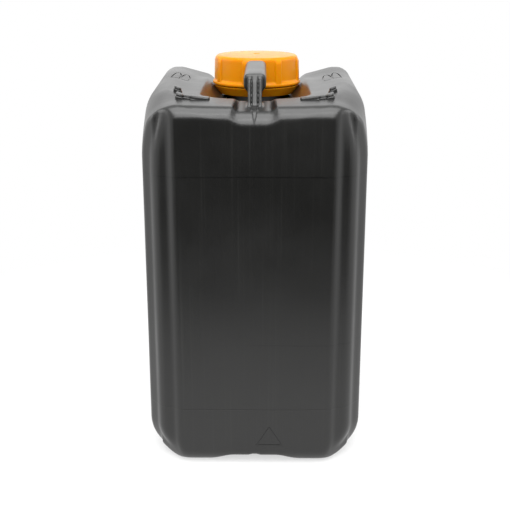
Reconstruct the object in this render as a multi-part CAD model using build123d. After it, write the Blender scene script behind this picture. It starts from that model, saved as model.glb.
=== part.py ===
from build123d import *
import os
from math import atan2, degrees, radians, sqrt, tan

# Stackable jerrycan for motor oil: one blow-moulded container with its handle and neck,
# closed by a ribbed screw cap that holds a sealing disc, above a tamper ring.
# Millimetres, +Z up, origin on the floor under the middle of the can, neck towards +Y.

# Container shell
CAN_WIDTH = 145.0
CAN_LENGTH = 190.0
SHOULDER_HEIGHT = 250.0
WALL = 1.4
BASE_CORNER_RADIUS = 25.0
SHOULDER_RADIUS = 12.0
END_EDGE_EASE = 1.0

# Recessed columns at the four upright corners
COLUMN_DEPTH = 4.0
COLUMN_FRONT = 25.5
COLUMN_SIDE = 22.0
COLUMN_STEP = 4.5
COLUMN_EDGE_RADIUS = 8.0
COLUMN_STEP_RADIUS = 5.0
COLUMN_LEAD = 4.0
COLUMN_LEAD_RISE = 0.6

# Sides drawn in towards the upper front corners
CORNER_DRAW_DROP = 35.0
CORNER_DRAW_RADIUS = 75.0
CORNER_DRAW_ANGLE = 8.0
CORNER_DRAW_INSET = 2.2

# Saddle between the shoulders, and the channel through the front rim
SADDLE_HALF_WIDTH = 47.0
SADDLE_DEPTH = 3.0
SADDLE_SLOPE = 15.0
SADDLE_RADIUS = 20.0
CROWN_FALL_START = 55.0
CROWN_FALL_END = 17.0
CROWN_LEFT = 0.2
CHANNEL_HALF_WIDTH = 11.6
CHANNEL_DEPTH = 2.4
CHANNEL_SLOPE = 45.0

# Pocket under the handle and around the neck
POCKET_DEPTH = 22.0
POCKET_FLOOR_HALF_WIDTH = 14.4
POCKET_SLOPE = 43.0
POCKET_FRONT = 33.0
POCKET_FRONT_SLOPE = 60.0
POCKET_RIM_SLOPE = 25.0
POCKET_RIM_RADIUS = 8.0
POCKET_FLOOR_RADIUS = 5.0
POCKET_REAR_FLARE = 8.0
CAP_CLEARANCE = 3.2

# Base
FOOT_CHANNEL_HALF_WIDTH = 17.5
FOOT_CHANNEL_DEPTH = 3.0
FOOT_CHANNEL_SLOPE = 25.0
STACK_GAP = 2.0
STACK_SIDE_GAP = 4.0
STACK_DRAFT = 20.0

# Handle
HANDLE_RISE = 12.7
HANDLE_FRONT = 24.5
HANDLE_CAP_GAP = 2.25
HANDLE_LEAN = 7.5
HANDLE_BEND_RADIUS = 8.0
HANDLE_ARCH_RADIUS = 6.0
POST_WIDTH = 8.7
POST_DEPTH = 10.0
GRIP_WIDTH = 14.3
GRIP_HEIGHT = 12.0
GRIP_RADIUS = 5.5
GRIP_END_RADIUS = 3.0
GRIP_FRONT_INSET = 4.5
GRIP_REAR_INSET = 1.5
POST_GROOVE_WIDTH = 1.1
POST_GROOVE_DEPTH = 0.8
POST_GROOVE_OFFSET = 1.9

# Stacking lugs on the front rim and engraved pad outlines along each shoulder
LUG_HEIGHT = 2.6
LUG_EDGE_RADIUS = 0.9
LUG_SETBACK = 29.0
BAR_LUG_LENGTH = 14.0
BAR_LUG_DEPTH = 5.0
BAR_LUG_OFFSET = 37.0
STUD_LUG_SIZE = 4.6
STUD_LUG_OFFSET = 51.8
STUD_LUG_SPACING = 20.0
PAD_LINE_DEPTH = 0.5
PAD_LINE_WIDTH = 0.9
PAD_WIDTH = 7.0
PAD_LENGTH = 38.0
PAD_CORNER_RADIUS = 2.0
PAD_SIDE = 14.0
PAD_SPACING = 8.5
PAD_STAGGER = 4.0
PAD_REAR = 66.0

# Neck
NECK_AXIS_REAR = 48.0
NECK_BORE_RADIUS = 20.0
NECK_WALL = 3.6
NECK_ROOT_RADIUS = 3.0
BEAD_PROUD = 3.2
BEAD_HEIGHT = 2.2

# Screw cap, seal and tamper ring
CAP_RISE = 14.2
CAP_HEIGHT = 21.5
CAP_THREAD_GAP = 3.4
CAP_WALL = 4.2
CAP_TAPER = 0.9
CAP_ROOF = 2.0
CAP_EDGE_RADIUS = 2.6
CAP_DOME = 0.6
CAP_RIB_COUNT = 8
CAP_RIB_HEIGHT = 1.2
CAP_RIB_WIDTH = 5.0
CAP_RIB_DROP = 1.8
CAP_RIB_CHAMFER = 2.6
CAP_RIB_FIRST_ANGLE = 28.4
CAP_BEAD_HEIGHT = 3.0
CAP_BEAD_PROUD = 1.6
SEAL_THICKNESS = 1.5
SEAL_SIDE_GAP = 0.6
SEAT_GAP = 0.1
RING_HEIGHT = 6.3
RING_WALL = 5.0
RING_TAPER = 5.6
RING_GAP = 0.7
RING_LIP = 1.8
RING_CLEARANCE = 0.4

# Places worked out from the sizes above
OVERSHOOT = 12.0
STANDING = (Align.CENTER, Align.CENTER, Align.MIN)
HANGING = (Align.CENTER, Align.CENTER, Align.MAX)
HALF_WIDTH = CAN_WIDTH / 2
HALF_LENGTH = CAN_LENGTH / 2
SADDLE_Z = SHOULDER_HEIGHT - SADDLE_DEPTH
POCKET_Z = SADDLE_Z - POCKET_DEPTH
NECK_Y = HALF_LENGTH - NECK_AXIS_REAR
CAP_TOP = SHOULDER_HEIGHT + CAP_RISE
NECK_RADIUS = NECK_BORE_RADIUS + NECK_WALL
BEAD_RADIUS = NECK_RADIUS + BEAD_PROUD
CAP_BORE_RADIUS = NECK_RADIUS + CAP_THREAD_GAP
CAP_RADIUS = CAP_BORE_RADIUS + CAP_WALL
CAP_SKIRT_Z = CAP_TOP - CAP_HEIGHT
CAP_BEAD_RADIUS = CAP_RADIUS + CAP_BEAD_PROUD
CAP_POCKET_RADIUS = CAP_BEAD_RADIUS + CAP_CLEARANCE
SEAL_TOP = CAP_TOP - CAP_ROOF - SEAT_GAP
NECK_TOP = SEAL_TOP - SEAL_THICKNESS - SEAT_GAP
RING_TOP = CAP_SKIRT_Z - RING_GAP
RING_LIP_TOP = RING_TOP - RING_HEIGHT + RING_LIP
BEAD_Z = RING_LIP_TOP + RING_CLEARANCE
HANDLE_FRONT_Y = -HALF_LENGTH + HANDLE_FRONT
HANDLE_REAR_Y = NECK_Y - CAP_BEAD_RADIUS - HANDLE_CAP_GAP
HANDLE_TOP = SHOULDER_HEIGHT + HANDLE_RISE
STACK_DEPTH = max(CAP_RISE, HANDLE_RISE) + STACK_GAP


def outline(points, radii):
    """A closed face through the points, each corner rounded by its own radius."""
    return make_face(FilletPolyline(*points, radius=radii, close=True))


def upright(face, y):
    """A face drawn in X and Z, stood up at a place along Y."""
    return Plane.XZ.offset(-y) * face


def along_y(face, start, end):
    """A solid from a face drawn in X and Z, between two places along Y."""
    return extrude(upright(face, end), end - start)


def across_x(face, half_width):
    """A solid from a face drawn in Y and Z, the same distance to both sides of X = 0."""
    return extrude(Plane.YZ * face, half_width, both=True)


def both_sides(solid):
    """A solid together with its mirror image across the can's middle."""
    return solid + mirror(solid, about=Plane.YZ)


def trough(floor_half, floor_z, slope, rim_z, rim_slope, lift, radii):
    """An open channel section: flat floor, sloping sides and a gentler rim that runs out above."""
    side = floor_half + (rim_z - floor_z) / tan(radians(slope))
    top = side + lift / tan(radians(rim_slope))
    right = [(floor_half, floor_z), (side, rim_z), (top, rim_z + lift)]
    left = [(-x, z) for x, z in reversed(right)]
    floor_radius, rim_radius = radii
    corners = [floor_radius, rim_radius, 0, 0, rim_radius, floor_radius]
    return outline(right + left, corners)


def shell_block(inset):
    """The can's plain block: rounded base and shoulders, rounded front and back edges."""
    side = HALF_WIDTH - inset
    top = SHOULDER_HEIGHT - inset
    base_radius = BASE_CORNER_RADIUS - inset
    shoulder_radius = SHOULDER_RADIUS - inset
    corners = [(side, inset), (side, top), (-side, top), (-side, inset)]
    face = outline(corners, [base_radius, shoulder_radius, shoulder_radius, base_radius])
    block = along_y(face, -HALF_LENGTH + inset, HALF_LENGTH - inset)
    ends = block.edges().group_by(Axis.Y)
    return fillet(ends[0] + ends[-1], shoulder_radius - END_EDGE_EASE)


def corner_columns(inset):
    """What is taken off the block at its four upright corners, leaving stepped-back columns."""
    x_face = HALF_WIDTH - inset
    y_face = HALF_LENGTH - inset
    x_column = x_face - COLUMN_DEPTH
    y_column = y_face - COLUMN_DEPTH
    x_start = x_face - COLUMN_FRONT
    y_start = y_face - COLUMN_SIDE
    path = FilletPolyline(
        (x_start - COLUMN_LEAD, y_face + COLUMN_LEAD_RISE),
        (x_start + COLUMN_LEAD, y_face - COLUMN_LEAD_RISE),
        (x_start + COLUMN_LEAD + COLUMN_STEP, y_column),
        (x_column, y_column),
        (x_column, y_start + COLUMN_LEAD + COLUMN_STEP),
        (x_face - COLUMN_LEAD_RISE, y_start + COLUMN_LEAD),
        (x_face + COLUMN_LEAD_RISE, y_start - COLUMN_LEAD),
        radius=[
            COLUMN_STEP_RADIUS,
            COLUMN_STEP_RADIUS,
            COLUMN_EDGE_RADIUS,
            COLUMN_STEP_RADIUS,
            COLUMN_STEP_RADIUS,
        ],
    )
    outside = Polyline(
        path @ 1,
        (x_face + OVERSHOOT, y_start - COLUMN_LEAD),
        (x_face + OVERSHOOT, y_face + OVERSHOOT),
        (x_start - COLUMN_LEAD, y_face + OVERSHOOT),
        path @ 0,
    )
    cut = extrude(make_face(path + outside), SHOULDER_HEIGHT + OVERSHOOT)
    cut = both_sides(Pos(0, 0, -OVERSHOOT / 2) * cut)
    return cut + mirror(cut, about=Plane.XZ)


def column_feet(inset):
    """What is taken off under the columns, so that they stand back from the base as well."""
    x_face = HALF_WIDTH - inset
    y_face = HALF_LENGTH - inset
    x_step = x_face - COLUMN_FRONT + COLUMN_LEAD
    y_step = y_face - COLUMN_SIDE + COLUMN_LEAD
    zone = make_face(
        Polyline(
            (x_step, y_face + OVERSHOOT),
            (x_step, y_face),
            (x_step + 2 * COLUMN_STEP, y_face - 2 * COLUMN_DEPTH),
            (x_face - 2 * COLUMN_DEPTH, y_step + 2 * COLUMN_STEP),
            (x_face, y_step),
            (x_face + OVERSHOOT, y_step),
            (x_face + OVERSHOOT, y_face + OVERSHOOT),
            close=True,
        )
    )
    foot = extrude(Pos(0, 0, -OVERSHOOT) * zone, OVERSHOOT + BASE_CORNER_RADIUS)
    foot = both_sides(foot - shell_block(inset + COLUMN_DEPTH))
    return foot + mirror(foot, about=Plane.XZ)


def corner_draw(inset):
    """What is taken off the upper sides, so that they bend inwards towards the front corners."""
    start_z = SHOULDER_HEIGHT - CORNER_DRAW_DROP
    top_z = SHOULDER_HEIGHT + OVERSHOOT
    start = -CORNER_DRAW_INSET - inset
    radius = CORNER_DRAW_RADIUS - inset
    end = start - radius + sqrt(radius**2 - (top_z - start_z) ** 2)
    bend = RadiusArc((start, start_z), (end, top_z), -radius)
    outside = Polyline((end, top_z), (OVERSHOOT, top_z), (OVERSHOOT, start_z), (start, start_z))
    cut = along_y(make_face(bend + outside), -HALF_LENGTH, OVERSHOOT)
    cut = Pos(HALF_WIDTH, HALF_LENGTH, 0) * Rot(0, 0, CORNER_DRAW_ANGLE) * cut
    return mirror(both_sides(cut), about=Plane.XZ)


def crown_fall(grow):
    """The wedge over the front of the shoulders, which fall to the saddle's height there."""
    start = -HALF_LENGTH + CROWN_FALL_START
    end = -HALF_LENGTH + CROWN_FALL_END
    front = -HALF_LENGTH - OVERSHOOT
    low = SADDLE_Z + CROWN_LEFT - grow
    face = make_face(
        Polyline(
            (start, SHOULDER_HEIGHT - grow),
            (end, low),
            (front, low),
            (front, SHOULDER_HEIGHT + OVERSHOOT),
            (start, SHOULDER_HEIGHT + OVERSHOOT),
            close=True,
        )
    )
    return across_x(face, CAN_WIDTH)


def saddle(grow):
    """The shallow dip that leaves a raised shoulder on each side of the can."""
    run_out = SADDLE_DEPTH + OVERSHOOT
    side = SADDLE_HALF_WIDTH + grow
    top = side + run_out / tan(radians(SADDLE_SLOPE))
    floor_z = SADDLE_Z - grow
    face = outline(
        [(side, floor_z), (top, floor_z + run_out), (-top, floor_z + run_out), (-side, floor_z)],
        [SADDLE_RADIUS, 0, 0, SADDLE_RADIUS],
    )
    return along_y(face, -HALF_LENGTH - OVERSHOOT, HALF_LENGTH + OVERSHOOT)


def front_channel(grow):
    """The notch in the front rim from which the handle's front post rises."""
    face = trough(
        CHANNEL_HALF_WIDTH + grow,
        SADDLE_Z - CHANNEL_DEPTH - grow,
        CHANNEL_SLOPE,
        SADDLE_Z,
        CHANNEL_SLOPE,
        OVERSHOOT,
        (0, 0),
    )
    return along_y(face, -HALF_LENGTH - OVERSHOOT, -HALF_LENGTH + POCKET_FRONT + OVERSHOOT)


def pocket_section(floor_half, grow):
    """The pocket across the can: a flat floor between two slopes with softened rims."""
    rim_drop = POCKET_RIM_RADIUS / 4
    return trough(
        floor_half + grow,
        POCKET_Z - grow,
        POCKET_SLOPE,
        SADDLE_Z - rim_drop - grow,
        POCKET_RIM_SLOPE,
        OVERSHOOT,
        (POCKET_FLOOR_RADIUS, POCKET_RIM_RADIUS),
    )


def pocket(grow):
    """The hand and cap space: a trough closed in front, flared at the back, round at the cap."""
    rear = HALF_LENGTH + OVERSHOOT
    front_rim = -HALF_LENGTH + POCKET_FRONT - grow
    rim_drop = POCKET_RIM_RADIUS / 4
    rim_z = SADDLE_Z - rim_drop - grow
    floor_front = front_rim + POCKET_DEPTH / tan(radians(POCKET_FRONT_SLOPE))
    rim_front = floor_front - (rim_z - POCKET_Z + grow) / tan(radians(POCKET_FRONT_SLOPE))
    run_out = rim_front - OVERSHOOT / tan(radians(POCKET_RIM_SLOPE))
    side_view = outline(
        [
            (rear, POCKET_Z - grow),
            (rear, rim_z + OVERSHOOT),
            (run_out, rim_z + OVERSHOOT),
            (rim_front, rim_z),
            (floor_front, POCKET_Z - grow),
        ],
        [0, 0, 0, POCKET_RIM_RADIUS, POCKET_FLOOR_RADIUS],
    )
    straight = along_y(pocket_section(POCKET_FLOOR_HALF_WIDTH, grow), -HALF_LENGTH - OVERSHOOT, rear)
    hand_space = straight & across_x(side_view, CAN_WIDTH)
    narrow = pocket_section(POCKET_FLOOR_HALF_WIDTH - POCKET_REAR_FLARE, grow)
    wide = pocket_section(POCKET_FLOOR_HALF_WIDTH + POCKET_REAR_FLARE, grow)
    flare = loft([upright(narrow, HANDLE_REAR_Y), upright(wide, rear)], ruled=True)
    cap_space = Pos(0, NECK_Y, POCKET_Z - grow) * Cylinder(
        CAP_POCKET_RADIUS + grow,
        POCKET_DEPTH + SADDLE_DEPTH + OVERSHOOT,
        align=STANDING,
    )
    return [hand_space, flare, cap_space]


def base_relief(grow):
    """The pinch-off channel along the base and the recess that takes the can below."""
    channel_top = FOOT_CHANNEL_DEPTH + grow
    channel_half = FOOT_CHANNEL_HALF_WIDTH + grow
    foot_half = channel_half + (channel_top + OVERSHOOT) / tan(radians(FOOT_CHANNEL_SLOPE))
    channel_face = outline(
        [
            (channel_half, channel_top),
            (-channel_half, channel_top),
            (-foot_half, -OVERSHOOT),
            (foot_half, -OVERSHOOT),
        ],
        [0, 0, 0, 0],
    )
    channel = along_y(channel_face, -HALF_LENGTH - OVERSHOOT, HALF_LENGTH + OVERSHOOT)
    recess_depth = STACK_DEPTH + grow
    spread = recess_depth * tan(radians(STACK_DRAFT))
    cap_top = CAP_BEAD_RADIUS + STACK_SIDE_GAP + grow
    cap_recess = Pos(0, NECK_Y, 0) * Cone(cap_top + spread, cap_top, recess_depth, align=STANDING)
    slot_top = GRIP_WIDTH / 2 + STACK_SIDE_GAP + grow
    slot_face = outline(
        [
            (slot_top + spread, 0),
            (slot_top, recess_depth),
            (-slot_top, recess_depth),
            (-slot_top - spread, 0),
        ],
        [0, 0, 0, 0],
    )
    slot = along_y(slot_face, HANDLE_FRONT_Y - HANDLE_LEAN - grow, NECK_Y)
    return channel + cap_recess + slot


def shoulder_z(x, y):
    """The height of the shoulder's top at a place on the can."""
    ramp = (x - SADDLE_HALF_WIDTH) * tan(radians(SADDLE_SLOPE))
    from_end = (y + HALF_LENGTH - CROWN_FALL_END) / (CROWN_FALL_START - CROWN_FALL_END)
    crown = SADDLE_DEPTH * min(max(from_end, 0), 1)
    return SADDLE_Z + min(max(ramp, 0), crown)


def shoulder_pads():
    """The engraved outlines of two long pads on each shoulder, each laid along the rise there."""
    ring = RectangleRounded(PAD_WIDTH, PAD_LENGTH, PAD_CORNER_RADIUS)
    ring -= offset(ring, -PAD_LINE_WIDTH)
    line = extrude(Pos(0, 0, -PAD_LINE_DEPTH) * ring, 2 * PAD_LINE_DEPTH)
    pads = []
    for index in range(2):
        x = HALF_WIDTH - PAD_SIDE - index * PAD_SPACING
        y = HALF_LENGTH - PAD_REAR + (1 - index) * PAD_STAGGER
        inner_z = shoulder_z(x - PAD_WIDTH / 2, y)
        outer_z = shoulder_z(x + PAD_WIDTH / 2, y)
        slope = Rot(0, -degrees(atan2(outer_z - inner_z, PAD_WIDTH)), 0)
        pads.append(Pos(x, y, (inner_z + outer_z) / 2) * slope * line)
    return both_sides(pads[0] + pads[1])


def shell_form(inset):
    """The can without handle and neck, drawn in from its outer face by an inset."""
    form = shell_block(inset) - corner_columns(inset)
    form -= column_feet(inset)
    form -= corner_draw(inset)
    form -= crown_fall(inset)
    form -= saddle(inset)
    for space in pocket(inset):
        form -= space
    form -= front_channel(inset)
    return form - base_relief(inset)


def neck():
    """The threaded spout's plain blank, with the bead that holds the tamper ring down."""
    root_z = POCKET_Z - WALL / 2
    profile = Polyline(
        (0, root_z),
        (NECK_RADIUS + NECK_ROOT_RADIUS, root_z),
        (NECK_RADIUS + NECK_ROOT_RADIUS, POCKET_Z),
        (NECK_RADIUS, POCKET_Z + NECK_ROOT_RADIUS),
        (NECK_RADIUS, BEAD_Z),
        (BEAD_RADIUS, BEAD_Z),
        (BEAD_RADIUS, BEAD_Z + BEAD_HEIGHT / 3),
        (NECK_RADIUS, BEAD_Z + BEAD_HEIGHT),
        (NECK_RADIUS, NECK_TOP),
        (0, NECK_TOP),
        close=True,
    )
    return Pos(0, NECK_Y, 0) * revolve(Plane.XZ * make_face(profile), Axis.Z)


def handle():
    """An arched band with a thicker rounded grip, ribbed down the front of its front post."""
    root_front = SADDLE_Z - CHANNEL_DEPTH - WALL / 2
    root_rear = POCKET_Z - WALL / 2
    lean = HANDLE_LEAN
    under_z = HANDLE_TOP - GRIP_HEIGHT + WALL
    side_view = outline(
        [
            (HANDLE_FRONT_Y - lean, root_front),
            (HANDLE_FRONT_Y, HANDLE_TOP),
            (HANDLE_REAR_Y, HANDLE_TOP),
            (HANDLE_REAR_Y, root_rear),
            (HANDLE_REAR_Y - POST_DEPTH, root_rear),
            (HANDLE_REAR_Y - POST_DEPTH, under_z),
            (HANDLE_FRONT_Y + POST_DEPTH, under_z),
            (HANDLE_FRONT_Y + POST_DEPTH - lean, root_front),
        ],
        [0, HANDLE_BEND_RADIUS, HANDLE_BEND_RADIUS, 0, 0, HANDLE_ARCH_RADIUS, HANDLE_ARCH_RADIUS, 0],
    )
    band = across_x(side_view, POST_WIDTH / 2)
    groove_side = make_face(
        Polyline(
            (HANDLE_FRONT_Y - lean - OVERSHOOT, root_front),
            (HANDLE_FRONT_Y - lean + POST_GROOVE_DEPTH, root_front),
            (HANDLE_FRONT_Y + POST_GROOVE_DEPTH, HANDLE_TOP),
            (HANDLE_FRONT_Y - lean - OVERSHOOT, HANDLE_TOP),
            close=True,
        )
    )
    groove = Pos(POST_GROOVE_OFFSET, 0, 0) * across_x(groove_side, POST_GROOVE_WIDTH / 2)
    band -= both_sides(groove)
    grip_face = Pos(0, HANDLE_TOP - GRIP_HEIGHT / 2) * RectangleRounded(
        GRIP_WIDTH, GRIP_HEIGHT, GRIP_RADIUS
    )
    grip = along_y(grip_face, HANDLE_FRONT_Y + GRIP_FRONT_INSET, HANDLE_REAR_Y - GRIP_REAR_INSET)
    ends = grip.edges().group_by(Axis.Y)
    return band + fillet(ends[0] + ends[-1], GRIP_END_RADIUS)


def stacking_lugs():
    """A bar and two studs on each front shoulder that locate the can above."""
    y = -HALF_LENGTH + LUG_SETBACK
    places = [
        (BAR_LUG_OFFSET, y, BAR_LUG_LENGTH, BAR_LUG_DEPTH),
        (STUD_LUG_OFFSET, y - STUD_LUG_SIZE / 2, STUD_LUG_SIZE, STUD_LUG_SIZE),
        (STUD_LUG_OFFSET, y + STUD_LUG_SPACING, STUD_LUG_SIZE, STUD_LUG_SIZE),
    ]
    lugs = []
    for x, y_place, length, depth in places:
        root = SADDLE_Z - WALL / 2
        height = shoulder_z(x, y_place) + LUG_HEIGHT - root
        lug = Pos(x, y_place, root) * Box(length, depth, height, align=STANDING)
        lugs.append(fillet(lug.edges().group_by(Axis.Z)[-1], LUG_EDGE_RADIUS))
    return both_sides(lugs[0] + lugs[1] + lugs[2])


def container():
    """The whole blow-moulded piece, hollow, with the neck open at its top."""
    outer = shell_form(0) - shoulder_pads() + neck() + handle() + stacking_lugs()
    bore = Pos(0, NECK_Y, POCKET_Z - OVERSHOOT) * Cylinder(
        NECK_BORE_RADIUS,
        NECK_TOP - POCKET_Z + 2 * OVERSHOOT,
        align=STANDING,
    )
    return outer - shell_form(WALL) - bore


def cap():
    """The screw cap: ribbed skirt, rolled bead at its mouth, slightly domed roof."""
    dome_radius = ((CAP_RADIUS - CAP_TAPER) ** 2 + CAP_DOME**2) / (2 * CAP_DOME)
    rim = (CAP_RADIUS - CAP_TAPER, CAP_HEIGHT - CAP_DOME)
    sides = Polyline((0, CAP_HEIGHT), (0, 0), (CAP_RADIUS, 0), rim)
    half = make_face(sides + RadiusArc(rim, (0, CAP_HEIGHT), -dome_radius))
    rim_corner = half.vertices().group_by(Axis.Y)[-2].sort_by(Axis.X)[-1]
    body = revolve(Plane.XZ * fillet(rim_corner, CAP_EDGE_RADIUS), Axis.Z)
    rib_inside = CAP_RADIUS - CAP_RIB_HEIGHT
    rib_outside = CAP_RADIUS + CAP_RIB_HEIGHT
    rib_top = CAP_HEIGHT - CAP_RIB_DROP
    rib_face = make_face(
        Polyline(
            (rib_inside, 0),
            (rib_outside, 0),
            (rib_outside, rib_top - CAP_RIB_CHAMFER),
            (rib_inside, rib_top),
            close=True,
        )
    )
    rib = extrude(Plane.XZ * rib_face, CAP_RIB_WIDTH / 2, both=True)
    for index in range(CAP_RIB_COUNT):
        angle = CAP_RIB_FIRST_ANGLE - 90 + index * 360 / CAP_RIB_COUNT
        body += Rot(0, 0, angle) * rib
    bead = Cylinder(CAP_BEAD_RADIUS, CAP_BEAD_HEIGHT, align=STANDING)
    body += fillet(bead.edges(), CAP_BEAD_HEIGHT / 3)
    bore = Cylinder(CAP_BORE_RADIUS, CAP_HEIGHT - CAP_ROOF, align=STANDING)
    return Pos(0, NECK_Y, CAP_SKIRT_Z) * (body - bore)


def seal_disc():
    """The sealing disc between the neck's rim and the cap's roof."""
    radius = CAP_BORE_RADIUS - SEAL_SIDE_GAP
    return Pos(0, NECK_Y, SEAL_TOP) * Cylinder(radius, SEAL_THICKNESS, align=HANGING)


def tamper_ring():
    """The ring left under the cap, tapering downwards, with a lip that hooks under the bead."""
    inner = BEAD_RADIUS + RING_CLEARANCE
    outer = inner + RING_WALL
    bottom = RING_TOP - RING_HEIGHT
    lip = (NECK_RADIUS + BEAD_RADIUS) / 2
    profile = Polyline(
        (inner, RING_TOP),
        (outer, RING_TOP),
        (outer - RING_TAPER, bottom),
        (lip, bottom),
        (lip, RING_LIP_TOP),
        (inner, RING_LIP_TOP),
        close=True,
    )
    return Pos(0, NECK_Y, 0) * revolve(Plane.XZ * make_face(profile), Axis.Z)


PIECES = {
    "container": container,
    "cap": cap,
    "seal_disc": seal_disc,
    "tamper_ring": tamper_ring,
}

os.makedirs("parts", exist_ok=True)
for name, build in PIECES.items():
    export_step(build(), f"parts/{name}.step")
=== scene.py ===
"""Looks of a stackable motor oil jerrycan: blown black container, amber screw cap, seal and tamper ring.

Metres, +Z up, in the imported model's own frame: the neck lies towards +Y and the handle's front post
towards -Y. The container is drawn as one signed field of softly blended forms, the way a blown skin
follows its mould, and is meshed here. The closure's ribs, threads and bridges are Geometry Nodes.
"""

import math

import bpy
import numpy as np
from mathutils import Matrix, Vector


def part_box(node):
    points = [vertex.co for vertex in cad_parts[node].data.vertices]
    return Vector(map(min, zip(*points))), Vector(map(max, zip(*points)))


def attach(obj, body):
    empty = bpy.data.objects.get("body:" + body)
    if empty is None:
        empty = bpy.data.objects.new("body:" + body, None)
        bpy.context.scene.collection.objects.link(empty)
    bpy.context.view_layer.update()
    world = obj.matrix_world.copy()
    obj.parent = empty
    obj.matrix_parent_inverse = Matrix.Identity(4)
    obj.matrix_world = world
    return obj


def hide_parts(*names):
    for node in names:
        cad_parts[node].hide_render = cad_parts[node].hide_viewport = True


bl_info = {
    "name": "Stackable Oil Jerrycan",
    "version": (1, 0, 0),
    "blender": (4, 5, 0),
    "location": "3D View > Sidebar > Jerrycan",
    "description": "Builds a blow-moulded stackable jerrycan with its screw closure and a studio stage",
    "category": "Add Mesh",
}

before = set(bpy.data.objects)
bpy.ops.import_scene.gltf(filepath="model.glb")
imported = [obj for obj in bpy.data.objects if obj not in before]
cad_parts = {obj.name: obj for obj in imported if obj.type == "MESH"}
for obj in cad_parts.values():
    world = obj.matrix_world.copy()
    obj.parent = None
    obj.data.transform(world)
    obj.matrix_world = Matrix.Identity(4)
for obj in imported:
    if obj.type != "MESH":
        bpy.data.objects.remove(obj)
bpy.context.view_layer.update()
CAN_LOW, CAN_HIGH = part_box("container")
CAP_LOW, CAP_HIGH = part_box("cap")
RING_LOW, RING_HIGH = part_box("tamper_ring")
SEAL_LOW, SEAL_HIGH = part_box("seal_disc")

MM = 0.001
TURN = 2 * math.pi
CHANNEL_REAR_SHARE = 0.4
LINK_HEIGHT_SHARE = 0.8
PROBE = 0.02 * MM
SETTLE_ROUNDS = 4
LEAST_SLOPE = 0.1
ARC_STEP = math.radians(15)
LEAST_ARC_PIECES = 3
NECK_SEGMENTS = 144
SEAL_SEGMENTS = 120
THREAD_STEPS = 72
RIDGE_SIDES = 14
RUN_OUT_START = 0.44
RUN_OUT_SIZE = 0.3
LUG_CORNER_STEPS = 4
PAD_ARCH_STEPS = 14
CLOSURE_AXIS = Vector(((CAP_LOW.x + CAP_HIGH.x) / 2, (CAP_LOW.y + CAP_HIGH.y) / 2, 0))


def linear_colour(hex_code):
    """An sRGB hex colour as the linear RGB values that shaders work in."""
    values = [int(hex_code[i : i + 2], 16) / 255 for i in (1, 3, 5)]
    return [v / 12.92 if v <= 0.04045 else ((v + 0.055) / 1.055) ** 2.4 for v in values]


def length(name, description, millimetres):
    """A length setting, given in millimetres and kept in metres."""
    return bpy.props.FloatProperty(
        name=name, description=description, default=millimetres * MM, unit="LENGTH", precision=5
    )


def angle(name, description, degrees):
    """An angle setting, given in degrees and kept in radians."""
    return bpy.props.FloatProperty(
        name=name, description=description, default=math.radians(degrees), subtype="ANGLE"
    )


def count(name, description, number):
    """A whole number setting."""
    return bpy.props.IntProperty(name=name, description=description, default=number, min=1)


def colour(name, description, hex_code):
    """A colour setting, given as an sRGB hex value."""
    return bpy.props.FloatVectorProperty(
        name=name, description=description, default=linear_colour(hex_code), subtype="COLOR", size=3
    )


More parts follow.
